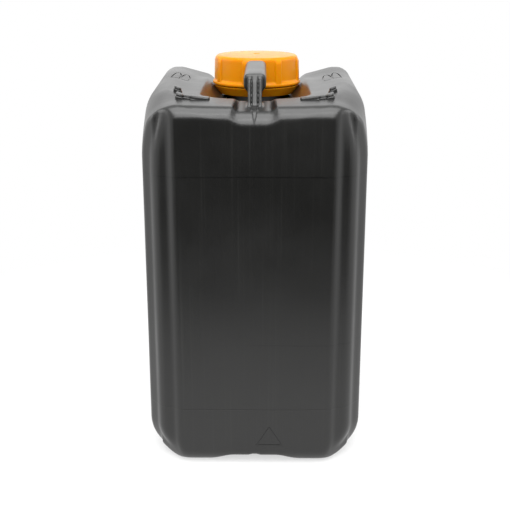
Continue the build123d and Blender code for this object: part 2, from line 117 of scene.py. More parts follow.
class JERRYCAN_PG_shell(bpy.types.PropertyGroup):
    """Sizes of the blown shell: block, corner columns, top and base."""

    width: length("Width", "Overall width of the can", (CAN_HIGH.x - CAN_LOW.x) / MM)
    depth: length("Depth", "Overall depth of the can", (CAN_HIGH.y - CAN_LOW.y) / MM)
    shoulder_height: length("Shoulder height", "Floor to the top of the shoulders", 250.0)
    fall_start: length("Fall start", "Front face to where the shoulders start to fall", 55.0)
    fall_end: length("Fall end", "Front face to where the shoulders end level with the flat", 17.0)
    draw_drop: length("Draw drop", "Height over which the sides bend in at the front corners", 45.0)
    draw_radius: length("Draw radius", "Radius of that bend", 120.0)
    draw_angle: angle("Draw angle", "Turn of that bend towards the corners", 8.0)
    draw_inset: length("Draw inset", "How far that bend lies inside the front corner", 2.4)
    draw_blend: length("Draw blend", "Rounding where a side turns into that bend", 12.0)
    wall: length("Wall", "Thickness of the blown wall", 1.4)
    base_radius: length("Base radius", "Rounding of the long base edges", 27.0)
    front_shoulder: length("Front shoulder radius", "Rounding of the long shoulder edges in front", 15.0)
    rear_shoulder: length("Rear shoulder radius", "Rounding of the long shoulder edges at the back", 7.5)
    foot_end: length("Foot end radius", "Rounding of the base's front and back edges", 11.0)
    rim_end: length("Rim end radius", "Rounding of the top's front and back edges", 8.0)
    column_depth: length("Column depth", "How far the corner columns stand back from the ends", 4.0)
    column_inset: length("Column inset", "How far the corner columns stand back from the sides", 5.5)
    column_front: length("Column front", "Width of a column seen from the front", 21.5)
    column_side: length("Column side", "Width of a column seen from the side", 18.0)
    column_step: length("Column step", "Width of the slope down to a column", 4.5)
    column_edge: length("Column edge", "Rounding of a column's outer edge", 7.0)
    column_blend: length("Column blend", "Rounding where a panel turns into a column", 5.0)
    curl_height: length("Curl height", "Height below which a column curls in under the base", 19.0)
    curl_radius: length("Curl radius", "Radius of that curl", 26.0)
    saddle_half: length("Saddle half width", "Half the width of the flat between the shoulders", 47.0)
    saddle_depth: length("Saddle depth", "Depth of the flat below the shoulders", 3.0)
    saddle_slope: angle("Saddle slope", "Slope from the flat up to the shoulders", 15.0)
    saddle_radius: length("Saddle radius", "Rounding at the foot of that slope", 25.0)
    crest_radius: length("Crest radius", "Rounding along the top of a shoulder", 8.0)
    dish_half: length("Dish half width", "Half the width over which the flat is dished", 50.0)
    dish_depth: length("Dish depth", "Depth of that dish", 1.1)
    roll_start: length("Roll start", "Front face to where the top starts to roll down", 35.0)
    roll_depth: length("Roll depth", "Drop of that roll at the front face", 1.4)
    sink_start: length("Sink start", "Front face to where the flat starts to sink", 125.0)
    sink_end: length("Sink end", "Front face to where it is fully sunk", 180.0)
    sink_depth: length("Sink depth", "How far the flat sinks towards the back", 3.0)
    channel_half: length("Channel half width", "Half the width of the front channel", 11.6)
    channel_depth: length("Channel depth", "Depth of the front channel at the front face", 3.4)
    channel_slope: angle("Channel slope", "Slope of the front channel's sides", 60.0)
    channel_radius: length("Channel radius", "Rounding of the front channel's edges", 3.0)
    pocket_depth: length("Pocket depth", "Depth of the hand pocket below the flat", 22.0)
    pocket_floor_half: length("Pocket floor", "Half the width of the pocket's floor", 14.4)
    pocket_slope: angle("Pocket slope", "Slope of the pocket's sides", 43.0)
    pocket_front: length("Pocket front", "Front face of the can to the pocket's rim", 33.0)
    pocket_front_slope: angle("Pocket front slope", "Slope of the pocket's front wall", 60.0)
    pocket_corner: length("Pocket corner", "Rounding between the front wall and the slopes", 20.0)
    pocket_floor_radius: length("Pocket floor radius", "Rounding at the pocket's floor", 5.0)
    pocket_rim: length("Pocket rim", "Rounding of the pocket's rim", 2.0)
    pocket_flare: length("Pocket flare", "How far the pocket's floor widens at the back", 3.0)
    flare_start: length("Flare start", "Middle of the can to where the pocket widens", 59.5)
    flare_blend: length("Flare blend", "Rounding where the pocket starts to widen", 12.0)
    foot_half: length("Foot channel", "Half the width of the channel along the base", 17.5)
    foot_depth: length("Foot channel depth", "Depth of the channel along the base", 5.2)
    pinch_half: length("Pinch half width", "Half the width of the pinch-off notch in the channel", 2.8)
    pinch_depth: length("Pinch depth", "Depth of the pinch-off notch above the channel", 1.0)
    foot_slope: angle("Foot slope", "Slope of that channel's sides", 25.0)
    foot_radius: length("Foot radius", "Rounding of that channel's edges", 6.0)
    stack_depth: length("Stacking depth", "Depth of the recess for the can below", 16.2)
    stack_gap: length("Stacking gap", "Room around the cap and handle of the can below", 4.0)
    stack_draft: angle("Stacking draft", "Draft of the stacking recess", 20.0)
    stack_radius: length("Stacking radius", "Rounding of the stacking recess", 2.5)
    pad_depth: length("Pad depth", "Depth of the pad outlines engraved in the shoulders", 0.6)
    pad_line: length("Pad line", "Width of those engraved lines", 1.1)
    pad_width: length("Pad width", "Width of a pad", 7.0)
    pad_length: length("Pad length", "Length of a pad", 31.0)
    pad_arch: length("Pad arch", "Length of a pad's arched rear end", 22.0)
    pad_side: length("Pad side", "Side of the can to the outer pads' middle", 14.0)
    pad_spacing: length("Pad spacing", "Outer pads to inner ones, across the can", 6.6)
    pad_stagger: length("Pad stagger", "Outer pads to inner ones, along the can", 1.0)
    pad_rear: length("Pad rear", "Back of the can to the inner pads' middle", 63.0)
    fine_grid: length("Fine grid", "Mesh spacing across the handle", 0.5)
    handle_grid: length("Handle grid", "Mesh spacing along and up the handle", 1.1)
    close_grid: length("Close grid", "Mesh spacing on the top", 1.4)
    plain_grid: length("Plain grid", "Mesh spacing across the panels", 2.1)
    wide_grid: length("Wide grid", "Mesh spacing up the straight walls", 7.0)
    inside_grid: length("Inside grid", "Mesh spacing of the inner face", 3.2)
    seams: bpy.props.FloatVectorProperty(
        name="Seams",
        description="Heights of the joints between the mould's plates",
        default=(41 * MM, 88 * MM, 201.5 * MM),
        unit="LENGTH",
    )
    plastic: colour("Plastic", "Colour of the container", "#10100F")
    # Painted shade: this near-black goes into the base colour along the upper mould joints and stands in for
    # the shade in their narrow grooves
    joint: colour("Joint", "Colour in the dark joints between the mould's plates", "#020202")


class JERRYCAN_PG_handle(bpy.types.PropertyGroup):
    """Sizes of the handle, the stacking lugs and the neck."""

    front: length("Front", "Front face of the can to the handle's front edge", 24.5)
    cap_gap: length("Cap gap", "Gap between the handle and the cap's bead", 2.25)
    lean: length("Lean", "How far the front post leans over its height", 7.5)
    bend: length("Bend", "Outer rounding at the ends of the grip", 5.0)
    arch: length("Arch", "Inner rounding at the ends of the grip", 6.0)
    post_width: length("Post width", "Width of the posts", 8.7)
    post_depth: length("Post depth", "Depth of the posts", 10.0)
    post_edge: length("Post edge", "Rounding of the posts' edges", 1.0)
    grip_width: length("Grip width", "Width of the grip", 14.3)
    grip_height: length("Grip height", "Height of the grip", 12.0)
    grip_top: length("Grip top", "Rounding of the grip's upper edges", 3.2)
    grip_radius: length("Grip radius", "Rounding of the grip's lower edges", 5.5)
    grip_end: length("Grip end", "Rounding of the grip's ends", 1.6)
    grip_front: length("Grip front", "Handle's front edge to the grip", 1.2)
    grip_rear: length("Grip rear", "Grip to the handle's rear edge", 1.5)
    rib_middle: length("Middle rib", "Half the width of the front post's middle rib", 1.75)
    rib_outer: length("Outer rib", "Half the width of the front post's outer ribs", 0.95)
    rib_offset: length("Rib offset", "Middle rib to an outer rib", 3.4)
    rib_proud: length("Rib height", "How far the ribs stand proud", 1.3)
    rib_edge: length("Rib edge", "Rounding of the ribs", 0.7)
    rib_drop: length("Rib drop", "Top of the handle to the outer ribs' ends", 3.0)
    root_blend: length("Root blend", "Rounding where the posts grow out of the can", 1.6)
    tail_height: length("Tail height", "Height of the pinch-off tail below the front post", 0.9)
    tail_half: length("Tail half width", "Half the width of that tail at its top", 1.9)
    tail_length: length("Tail length", "Drop of that tail down the front", 9.0)
    lug_height: length("Lug height", "Height of the stacking lugs", 2.3)
    lug_lean: angle("Lug lean", "How far the lugs' tops lean towards the middle of the can", 5.0)
    lug_level: length("Lug level", "Middle of the can to where the lugs have that height", 40.0)
    lug_foot: length("Lug foot", "Size of the bevel at the lugs' feet", 0.6)
    lug_edge: length("Lug edge", "Rounding of the lugs", 0.6)
    lug_setback: length("Lug setback", "Front face of the can to the lugs' middle", 29.0)
    lug_depth: length("Lug depth", "Depth of the bar lugs and front studs", 7.2)
    bar_length: length("Bar length", "Length of the bar lugs", 12.4)
    bar_offset: length("Bar offset", "Middle of the can to the bar lugs", 35.2)
    link_length: length("Link length", "Length of the link between bar and stud", 5.6)
    link_offset: length("Link offset", "Middle of the can to that link", 43.6)
    link_back: length("Link setback", "How far that link stands back", 2.4)
    stud_size: length("Stud size", "Width of the stud lugs", 4.4)
    stud_offset: length("Stud offset", "Middle of the can to the stud lugs", 48.2)
    stud_spacing: length("Stud spacing", "Front stud to rear stud", 22.0)
    stud_stagger: length("Stud stagger", "How far the rear stud stands further out", 3.0)
    neck_bore: length("Neck bore", "Radius of the pouring bore", 20.0)
    neck_radius: length("Neck radius", "Outer radius of the neck", 23.6)
    neck_root: length("Neck root", "Rounding at the neck's root", 3.0)
    neck_drop: length("Neck drop", "Top of the cap to the neck's rim", 3.7)
    bead_proud: length("Bead", "How far the neck's bead stands proud", 3.2)
    bead_height: length("Bead height", "Height of the neck's bead", 2.2)
    bead_play: length("Bead play", "Gap between the neck's bead and the tamper ring's lip", 0.4)
    mark_width: length("Mark width", "Width of the plain moulded triangle", 18.0)
    mark_height: length("Mark height", "Height of the plain moulded triangle", 14.5)
    mark_line: length("Mark line", "Width of the triangle's raised line", 0.8)
    mark_proud: length("Mark proud", "How far the triangle stands proud", 0.35)
    mark_offset: length("Mark offset", "Middle of the can to the triangle's middle", 10.0)
    mark_base: length("Mark base", "Floor to the triangle", 14.0)


class JERRYCAN_PG_closure(bpy.types.PropertyGroup):
    """Sizes and colours of the screw cap, seal and tamper ring."""

    cap_radius: length("Cap radius", "Radius of the cap's skirt at its foot", 31.2)
    cap_taper: length("Cap taper", "How far the skirt tapers towards the roof", 0.5)
    cap_bore: length("Cap bore", "Radius inside the cap", 27.0)
    cap_roof: length("Cap roof", "Thickness of the cap's roof", 2.0)
    cap_dome: length("Cap dome", "How far the roof rises to its middle", 0.6)
    cap_edge: length("Cap edge", "Rounding of the roof's edge", 2.6)
    cap_bead: length("Cap bead", "Height of the rolled bead at the cap's mouth", 3.0)
    gate_radius: length("Gate radius", "Radius of the dimple in the middle of the roof", 2.2)
    gate_depth: length("Gate depth", "Depth of that dimple", 0.35)
    rib_count: count("Rib count", "Number of grip ribs around the cap", 8)
    rib_width: length("Rib width", "Width of a grip rib", 5.8)
    rib_height: length("Rib height", "How far a grip rib stands proud", 1.2)
    rib_flank: length("Rib flank", "Width of a rib's sloping flanks", 0.9)
    rib_drop: length("Rib drop", "Top of the cap to the ribs", 1.8)
    rib_chamfer: length("Rib chamfer", "Height of the slope at a rib's top", 2.6)
    rib_first: angle("First rib", "Direction of the first rib", -59.0)
    segments: count("Segments", "Mesh segments around the closure", 480)
    profile_step: length("Profile step", "Mesh spacing along the profiles", 0.9)
    pitch: length("Pitch", "Rise of the screw thread in one turn", 6.0)
    thread_radius: length("Thread radius", "Radius of the rounded thread ridge", 1.6)
    thread_turns: bpy.props.FloatProperty(
        name="Thread turns", description="Number of turns of the thread", default=1.75, min=0.25
    )
    neck_thread_drop: length("Neck thread drop", "Top of the cap to the neck thread's end", 7.2)
    ring_wall: length("Ring wall", "Wall of the tamper ring", 5.0)
    ring_taper: length("Ring taper", "How far the ring tapers downwards", 4.2)
    ring_lip: length("Ring lip", "Height of the lip under the neck's bead", 1.8)
    ring_lip_radius: length("Ring lip radius", "Radius inside that lip", 25.2)
    bridge_count: count("Bridge count", "Number of bridges on the tamper ring", 12)
    bridge_width: length("Bridge width", "Width of a bridge", 1.6)
    bridge_depth: length("Bridge depth", "Thickness of a bridge", 1.0)
    bridge_height: length("Bridge height", "Height of a bridge above the ring, into the skirt", 1.25)
    seal_edge: length("Seal edge", "Rounding of the sealing disc", 0.4)
    plastic: colour("Plastic", "Colour of the cap and ring", "#CF8203")
    foam: colour("Foam", "Colour of the sealing disc", "#E9E8E1")


class JERRYCAN_PG_stage(bpy.types.PropertyGroup):
    """Floor, lights and camera."""

    floor_size: length("Floor size", "Width of the floor", 6000.0)
    floor_colour: colour("Floor", "Colour of the floor", "#F2F2F2")
    camera_distance: length("Camera distance", "Camera in front of the can's middle", 675.0)
    camera_height: length("Camera height", "Camera above the floor", 333.8)
    camera_side: length("Camera side", "Camera to the right of the can's middle", 6.5)
    camera_turn: angle("Camera turn", "How far the camera turns to the left", 0.606)
    camera_pitch: angle("Camera pitch", "How far the camera looks down", 17.5)
    lens: bpy.props.FloatProperty(
        name="Lens", description="Focal length in millimetres", default=66.95, subtype="DISTANCE_CAMERA"
    )
    shadow_core: length("Shadow core", "How far from the middle the shadow is fullest", 84.0)
    shadow_reach: length("Shadow reach", "How far from the middle the floor shows shadow", 420.0)
    floor_glow: bpy.props.FloatProperty(
        name="Floor glow", description="Share of plain white in the floor under the can", default=0.6
    )
    flag_near: length("Flag near", "Can's middle to the near edge of the black flag", 400.0)
    flag_far: length("Flag far", "Can's middle to the back of the black flag", 1400.0)
    flag_width: length("Flag width", "Width of the black flag", 1600.0)
    flag_height: length("Flag height", "Height of the black flag's back", 420.0)
    flag_colour: colour("Flag", "Colour of the black flag", "#191919")
    light_target: length("Light target", "Height that the softboxes point at", 120.0)
    key_power: bpy.props.FloatProperty(
        name="Key power", description="Power of the softbox above", default=19.0, unit="POWER"
    )
    rear_power: bpy.props.FloatProperty(
        name="Rear power", description="Power of the softbox behind", default=1.6, unit="POWER"
    )
    front_power: bpy.props.FloatProperty(
        name="Front power", description="Power of the softbox high in front", default=14.0, unit="POWER"
    )
    fill_power: bpy.props.FloatProperty(
        name="Fill power", description="Power of each softbox beside the can", default=5.0, unit="POWER"
    )
    world_strength: bpy.props.FloatProperty(
        name="World strength", description="Strength of the even light all around", default=0.7
    )


# Signed fields and meshing


def round_max(a, b, radius):
    """Where two forms overlap, with the outer edge between them rounded."""
    corner = np.hypot(np.maximum(a + radius, 0), np.maximum(b + radius, 0))
    return np.minimum(-radius, np.maximum(a, b)) + corner


def round_min(a, b, radius):
    """Two forms joined, with the inner edge between them rounded."""
    return -round_max(-a, -b, radius)


def edge_size(radius, turn):
    """The blend that gives a real rounding where two faces turn by an angle."""
    return radius * math.tan(turn / 2) * math.sin(turn)


def slope_plane(across, up, slope):
    """Distance below a plane that rises outwards at a slope from a line at zero."""
    return across * math.sin(slope) - up * math.cos(slope)


def eased(share):
    """A share from nothing to one that starts and ends gently."""
    return share**2 * (3 - 2 * share)


def crown_height(shell, y):
    """How far the shoulders rise above the flat, which is less towards the front."""
    from_end = y + shell.depth / 2 - shell.fall_end
    share = np.clip(from_end / (shell.fall_start - shell.fall_end), 0, 1)
    return shell.saddle_depth * eased(share)


def flat_levels(shell, x, y):
    """How far the top rolls down towards the front, and how far the flat lies lower still."""
    from_front = y + shell.depth / 2
    roll = shell.roll_depth * np.maximum(1 - from_front / shell.roll_start, 0) ** 2
    dish = shell.dish_depth * (1 - np.minimum(np.abs(x) / shell.dish_half, 1) ** 2)
    share = np.clip((from_front - shell.sink_start) / (shell.sink_end - shell.sink_start), 0, 1)
    return roll, dish + shell.sink_depth * eased(share)


def shoulder_z(shell, x, y):
    """The height of the can's top at a place on a shoulder."""
    roll, sunk = flat_levels(shell, x, y)
    ramp = (np.abs(x) - shell.saddle_half) * math.tan(shell.saddle_slope)
    rise = np.minimum(np.maximum(ramp, -sunk), crown_height(shell, y))
    return shell.shoulder_height - shell.saddle_depth - roll + rise


def draw_field(shell, x, y, z):
    """The bend of the upper sides towards the front corners."""
    across = np.abs(x) - shell.width / 2
    along = -y - shell.depth / 2
    out = across * math.cos(shell.draw_angle) + along * math.sin(shell.draw_angle) + shell.draw_inset
    up = np.maximum(z - shell.shoulder_height + shell.draw_drop, 0)
    return np.hypot(np.maximum(out + shell.draw_radius, 0), up) - shell.draw_radius


def top_field(shell, x, y, z):
    """The top across the can: shoulders, the flat between them and the notch for the front post."""
    across = np.abs(x)
    roll, sunk = flat_levels(shell, x, y)
    level = z - shell.shoulder_height + shell.saddle_depth + roll
    up = level - crown_height(shell, y)
    ramp = slope_plane(across - shell.saddle_half, level, shell.saddle_slope)
    saddle = round_max(-level - sunk, ramp, edge_size(shell.saddle_radius, shell.saddle_slope))
    shoulders = round_max(up, -saddle, edge_size(shell.crest_radius, shell.saddle_slope))
    fall = np.maximum(1 - (y + shell.depth / 2) / shell.roll_start, 0)
    depth_share = CHANNEL_REAR_SHARE + (1 - CHANNEL_REAR_SHARE) * fall
    floor = level + sunk + shell.channel_depth * depth_share
    side = slope_plane(across - shell.channel_half, floor, shell.channel_slope)
    edge = edge_size(shell.channel_radius, shell.channel_slope)
    return round_max(shoulders, -round_max(-floor, side, edge), edge)


def block_field(shell, x, y, z):
    """The can's block under that top, with corner columns that stand back from walls and base."""
    side = np.abs(x) - shell.width / 2
    end = np.abs(y) - shell.depth / 2
    draw = draw_field(shell, x, y, z)
    wall = round_max(side, draw, edge_size(shell.draw_blend, shell.draw_angle))
    low = round_max(wall, -z, shell.base_radius)
    rear = np.clip(0.5 + y / shell.depth, 0, 1)
    shoulder_radius = shell.front_shoulder + (shell.rear_shoulder - shell.front_shoulder) * rear
    high = round_max(wall, top_field(shell, x, y, z), shoulder_radius)
    share = np.clip((z - shell.base_radius) / (shell.shoulder_height - 2 * shell.base_radius), 0, 1)
    end_radius = shell.foot_end + (shell.rim_end - shell.foot_end) * share
    block = round_max(np.maximum(low, high), end, end_radius)
    back = shell.column_depth
    limit = 2 * back
    step = math.atan2(back, shell.column_step)
    blend = edge_size(shell.column_blend, step)
    curl = np.maximum(shell.curl_height - z, 0) ** 2 / (2 * shell.curl_radius)
    under = round_max(side, -z, shell.base_radius)
    front_panel = slope_plane(side + shell.column_front + curl, -end, step)
    front_panel = np.maximum(front_panel, side + limit)
    side_panel = slope_plane(end + shell.column_side, -under, step)
    side_panel = np.maximum(side_panel, end + limit)
    core = round_max(wall + shell.column_inset, back - z, shell.base_radius - back)
    core = round_max(core, end + back, shell.column_edge)
    columns = round_min(round_min(core, front_panel, blend), side_panel, blend)
    return round_max(block, columns, blend)


def pocket_field(shell, x, y, z):
    """The hand and cap space: closed in front, flared beside the cap, open at the back."""
    saddle_z = shell.shoulder_height - shell.saddle_depth
    up = z - (saddle_z - shell.pocket_depth)
    rate = shell.pocket_flare / (shell.depth / 2 - shell.flare_start)
    flare = round_min(np.zeros_like(y), -(y - shell.flare_start) * rate, shell.flare_blend * rate)
    slopes = slope_plane(np.abs(x) - shell.pocket_floor_half + flare, up, shell.pocket_slope)
    rim_y = shell.pocket_front - shell.depth / 2
    floor_y = rim_y + shell.pocket_depth / math.tan(shell.pocket_front_slope)
    front = slope_plane(floor_y - y, up, shell.pocket_front_slope)
    foot = edge_size(shell.pocket_floor_radius, shell.pocket_slope)
    return round_max(round_max(slopes, front, shell.pocket_corner), -up, foot)


def base_field(shell, handle, x, y, z):
    """The channel along the base and the recess that takes the cap and handle of the can below."""
    # The notch is full over the inner half of its width and slopes away beyond
    pinch = np.clip(1.5 - np.abs(x) / shell.pinch_half, 0, 1)
    up = shell.foot_depth + shell.pinch_depth * pinch - z
    feet = slope_plane(np.abs(x) - shell.foot_half, up, shell.foot_slope)
    channel = round_max(-up, feet, edge_size(shell.foot_radius, shell.foot_slope))
    roof = z - shell.stack_depth
    spread = -roof * math.tan(shell.stack_draft)
    lean = math.cos(shell.stack_draft)
    cap_room = (CAP_HIGH.x - CAP_LOW.x) / 2 + shell.stack_gap + spread
    round_room = (np.hypot(x - CLOSURE_AXIS.x, y - CLOSURE_AXIS.y) - cap_room) * lean
    slot_side = (np.abs(x) - handle.grip_width / 2 - shell.stack_gap - spread) * lean
    slot_front = handle.front - handle.lean - shell.depth / 2 - y
    slot = round_max(slot_side, np.maximum(slot_front, y - CLOSURE_AXIS.y), shell.stack_radius)
    recess = round_max(round_min(round_room, slot, shell.stack_radius), roof, shell.stack_radius)
    return np.minimum(channel, recess)


def shell_field(settings, x, y, z):
    """The blown shell without handle, lugs and neck: negative inside."""
    shell = settings.jerrycan_shell
    form = block_field(shell, x, y, z)
    pocket = pocket_field(shell, x, y, z)
    form = round_max(form, -pocket, edge_size(shell.pocket_rim, shell.pocket_slope))
    return round_max(form, -base_field(shell, settings.jerrycan_handle, x, y, z), shell.stack_radius)


def handle_field(settings, x, y, z):
    """The arched band with its rounded grip and the ribs down its front post."""
    shell, handle = settings.jerrycan_shell, settings.jerrycan_handle
    across = np.abs(x)
    top = CAN_HIGH.z
    front = handle.front - shell.depth / 2
    rear = CAP_LOW.y - handle.cap_gap
    root = shell.shoulder_height - shell.saddle_depth - shell.channel_depth - shell.wall / 2
    under = top - handle.grip_height + shell.wall
    outer_lean = math.atan2(top - root, handle.lean)
    inner_lean = math.atan2(under - root, handle.lean)
    face = slope_plane(front - y, top - z, outer_lean)
    outer = round_max(face + handle.rib_proud, z - top, handle.bend)
    outer = round_max(outer, y - rear, handle.bend)
    gap_front = slope_plane(front + handle.post_depth - y, under - z, inner_lean)
    gap = round_max(round_max(gap_front, z - under, handle.arch), y - rear + handle.post_depth, handle.arch)
    band = round_max(np.maximum(outer, -gap), across - handle.post_width / 2, handle.post_edge)
    front_root = np.maximum(root - z, y)
    rear_root = np.maximum(root - shell.pocket_depth - z, -y)
    band = np.maximum(band, np.minimum(front_root, rear_root))
    ridge = np.maximum(round_max(face, z - top, handle.bend), -face - 2 * handle.rib_proud)
    for offset, half, drop in (
        (0.0, handle.rib_middle, 0.0),
        (handle.rib_offset, handle.rib_outer, handle.rib_drop),
    ):
        end = np.maximum(z - top + drop, root - z)
        rib = round_max(ridge, np.maximum(np.abs(across - offset) - half, end), handle.rib_edge)
        band = np.minimum(band, rib)
    low = top - handle.grip_height - z
    aside = across - handle.grip_width / 2
    section = np.maximum(
        round_max(aside, z - top, handle.grip_top), round_max(aside, low, handle.grip_radius)
    )
    ends = np.maximum(front + handle.grip_front - y, y - rear + handle.grip_rear)
    grip = round_max(section, ends, handle.grip_end)
    return round_min(band, grip, handle.post_edge)


def container_field(settings, x, y, z):
    """The whole outer form of the container without its neck and lugs: negative inside."""
    shell, handle = settings.jerrycan_shell, settings.jerrycan_handle
    form = shell_field(settings, x, y, z)
    top = shell.shoulder_height - shell.saddle_depth - shell.channel_depth
    narrowing = np.clip((z - top + handle.tail_length) / handle.tail_length, 0, 1)
    tail = np.maximum(np.abs(x) - handle.tail_half * narrowing, form - handle.tail_height * narrowing)
    tail = np.maximum(tail, y + shell.depth / 2 - handle.front)
    tail = np.maximum(tail, top - handle.tail_length - z)
    form = round_min(form, handle_field(settings, x, y, z), handle.root_blend)
    return np.minimum(form, tail)


def graded_line(start, stretches):
    """Grid lines from a start through stretches, each given by its end and spacing."""
    lines = [np.array([start])]
    for end, spacing in stretches:
        steps = max(1, round((end - start) / spacing))
        lines.append(np.linspace(start, end, steps + 1)[1:])
        start = end
    return np.concatenate(lines)


def crossed_cells(values, lines):
    """The cells that a surface crosses, and one point of the surface in each."""
    inside = values < 0
    corners = [(i, j, k) for i in (0, 1) for j in (0, 1) for k in (0, 1)]
    sizes = [size - 1 for size in values.shape]
    counts = np.zeros(sizes, np.uint8)
    for corner in corners:
        counts += inside[tuple(slice(start, start + size) for start, size in zip(corner, sizes))]
    cells = np.argwhere((counts > 0) & (counts < len(corners)))
    corner_values, corner_points = [], []
    for corner in corners:
        place = cells + np.array(corner)
        corner_values.append(values[tuple(place.T)])
        corner_points.append(np.stack([lines[axis][place[:, axis]] for axis in range(3)], axis=1))
    total = np.zeros((len(cells), 3))
    crossings = np.zeros(len(cells))
    for a in range(len(corners)):
        for b in range(a + 1, len(corners)):
            if sum(abs(p - q) for p, q in zip(corners[a], corners[b])) != 1:
                continue
            crossed = (corner_values[a] < 0) != (corner_values[b] < 0)
            gap = np.where(crossed, corner_values[a] - corner_values[b], 1)
            share = np.where(crossed, corner_values[a] / gap, 0)[:, None]
            point = corner_points[a] * (1 - share) + corner_points[b] * share
            total += np.where(crossed[:, None], point, 0)
            crossings += crossed
    return cells, total / crossings[:, None]


def crossing_quads(values, cells):
    """One quad around each grid edge that the surface crosses, facing outwards."""
    index = np.full(np.array(values.shape) - 1, -1)
    index[tuple(cells.T)] = np.arange(len(cells))
    inside = values < 0
    quads = []
    for axis in range(3):
        first, second = [other for other in range(3) if other != axis]
        low = np.take(inside, range(values.shape[axis] - 1), axis)
        high = np.take(inside, range(1, values.shape[axis]), axis)
        edges = np.argwhere(low != high)
        around = []
        for step_first, step_second in ((-1, -1), (0, -1), (0, 0), (-1, 0)):
            cell = edges.copy()
            cell[:, first] += step_first
            cell[:, second] += step_second
            around.append(index[tuple(cell.T)])
        ring = np.stack(around, axis=1)
        forwards = low[tuple(edges.T)] == (axis != 1)
        quads.append(np.where(forwards[:, None], ring, ring[:, ::-1]))
    return np.concatenate(quads)


def settle_points(field, points, reach):
    """Moves points along the field's slope onto its surface, by a limited reach."""
    start = points.copy()
    for _ in range(SETTLE_ROUNDS):
        value = field(*points.T)
        slope = np.empty_like(points)
        for axis in range(3):
            shifted = points.copy()
            shifted[:, axis] += PROBE
            slope[:, axis] = (field(*shifted.T) - value) / PROBE
        squared = np.maximum((slope**2).sum(axis=1), LEAST_SLOPE)
        points = points - slope * (value / squared)[:, None]
        points = start + np.clip(points - start, -reach, reach)
    return points


def field_mesh(name, field, lines, reach):
    """A closed quad mesh on a field's surface over a graded grid."""
    grid = np.meshgrid(*lines, indexing="ij", sparse=True)
    values = field(*grid)
    cells, points = crossed_cells(values, lines)
    quads = crossing_quads(values, cells)
    return plain_mesh(name, settle_points(field, points, reach), quads)


def plain_mesh(name, points, faces):
    """A new object at the origin from points in metres and faces."""
    mesh = bpy.data.meshes.new(name)
    mesh.from_pydata([tuple(p) for p in points], [], [tuple(int(i) for i in f) for f in faces])
    mesh.validate()
    thing = bpy.data.objects.new(name, mesh)
    bpy.context.scene.collection.objects.link(thing)
    return thing


def outlined_prism(name, outer, inner, place, low, high):
    """A closed frame between two outlines, from a low to a high level over a surface."""
    points = [place(u, v, level) for level in (low, high) for u, v in outer + inner]
    size = len(outer)
    faces = []
    for k in range(size):
        n = (k + 1) % size
        faces.append((k, k + size, n + size, n))
        faces.append((k + 2 * size, n + 2 * size, n + 3 * size, k + 3 * size))
        faces.append((k, n, n + 2 * size, k + 2 * size))
        faces.append((k + size, k + 3 * size, n + 3 * size, n + size))
    return plain_mesh(name, points, faces)


# Turned profiles


def rounded_profile(corners, step):
    """A profile through corners (radius, height, rounding), split into short steps."""
    points = []
    for index, (r, z, rounding) in enumerate(corners):
        here = Vector((r, z))
        if rounding == 0 or index in (0, len(corners) - 1):
            points.append(here)
            continue
        back = (Vector(corners[index - 1][:2]) - here).normalized()
        ahead = (Vector(corners[index + 1][:2]) - here).normalized()
        half = back.angle(ahead) / 2
        run = rounding / math.tan(half)
        centre = here + (back + ahead).normalized() * (rounding / math.sin(half))
        start, end = here + back * run - centre, here + ahead * run - centre
        sweep = start.angle_signed(end)
        pieces = max(LEAST_ARC_PIECES, round(abs(sweep) / ARC_STEP))
        for piece in range(pieces + 1):
            turn = -sweep * piece / pieces
            cos, sin = math.cos(turn), math.sin(turn)
            points.append(centre + Vector((start.x * cos - start.y * sin, start.x * sin + start.y * cos)))
    fine = [points[0]]
    for point in points[1:]:
        pieces = max(1, math.ceil((point - fine[-1]).length / step - 0.01))
        begin = fine[-1]
        fine += [begin.lerp(point, (piece + 1) / pieces) for piece in range(pieces)]
    return fine


def turned(name, profile, segments, closed=False):
    """A profile of (radius, height) turned about the closure's axis; closed joins its ends."""
    points, rings = [], []
    for r, z in profile:
        size = 1 if r < 1e-9 else segments
        rings.append(list(range(len(points), len(points) + size)))
        for k in range(size):
            turn = TURN * k / segments
            points.append((CLOSURE_AXIS.x + r * math.cos(turn), CLOSURE_AXIS.y + r * math.sin(turn), z))
    pairs = list(zip(rings, rings[1:]))
    if closed:
        pairs.append((rings[-1], rings[0]))
    faces = []
    for low, high in pairs:
        for k in range(segments):
            corners = [
                low[k % len(low)],
                low[(k + 1) % segments % len(low)],
                high[(k + 1) % segments % len(high)],
                high[k % len(high)],
            ]
            faces.append(list(dict.fromkeys(corners)))
    return plain_mesh(name, points, faces)


# Geometry Nodes and finishing


def add_node(tree, kind, inputs=None, **settings):
    """Adds a node, sets its properties and fills its inputs with values or links."""
    node = tree.nodes.new(kind)
    for name, value in settings.items():
        setattr(node, name, value)
    for key, value in (inputs or {}).items():
        if isinstance(value, bpy.types.NodeSocket):
            tree.links.new(value, node.inputs[key])
        else:
            node.inputs[key].default_value = value
    return node


def new_tree(name, sockets):
    """A geometry node tree with its named inputs: socket name to socket type."""
    tree = bpy.data.node_groups.new(name, "GeometryNodeTree")
    tree.is_modifier = True
    tree.interface.new_socket("Geometry", in_out="INPUT", socket_type="NodeSocketGeometry")
    for label, kind in sockets.items():
        tree.interface.new_socket(label, in_out="INPUT", socket_type=kind)
    tree.interface.new_socket("Geometry", in_out="OUTPUT", socket_type="NodeSocketGeometry")
    return tree, add_node(tree, "NodeGroupInput").outputs


def end_tree(tree, geometry, material):
    """Ends a tree in real geometry with its material."""
    real = add_node(tree, "GeometryNodeRealizeInstances", {"Geometry": geometry})
    painted = add_node(
        tree, "GeometryNodeSetMaterial", {"Geometry": real.outputs["Geometry"], "Material": material}
    )
    add_node(tree, "NodeGroupOutput", {"Geometry": painted.outputs["Geometry"]})


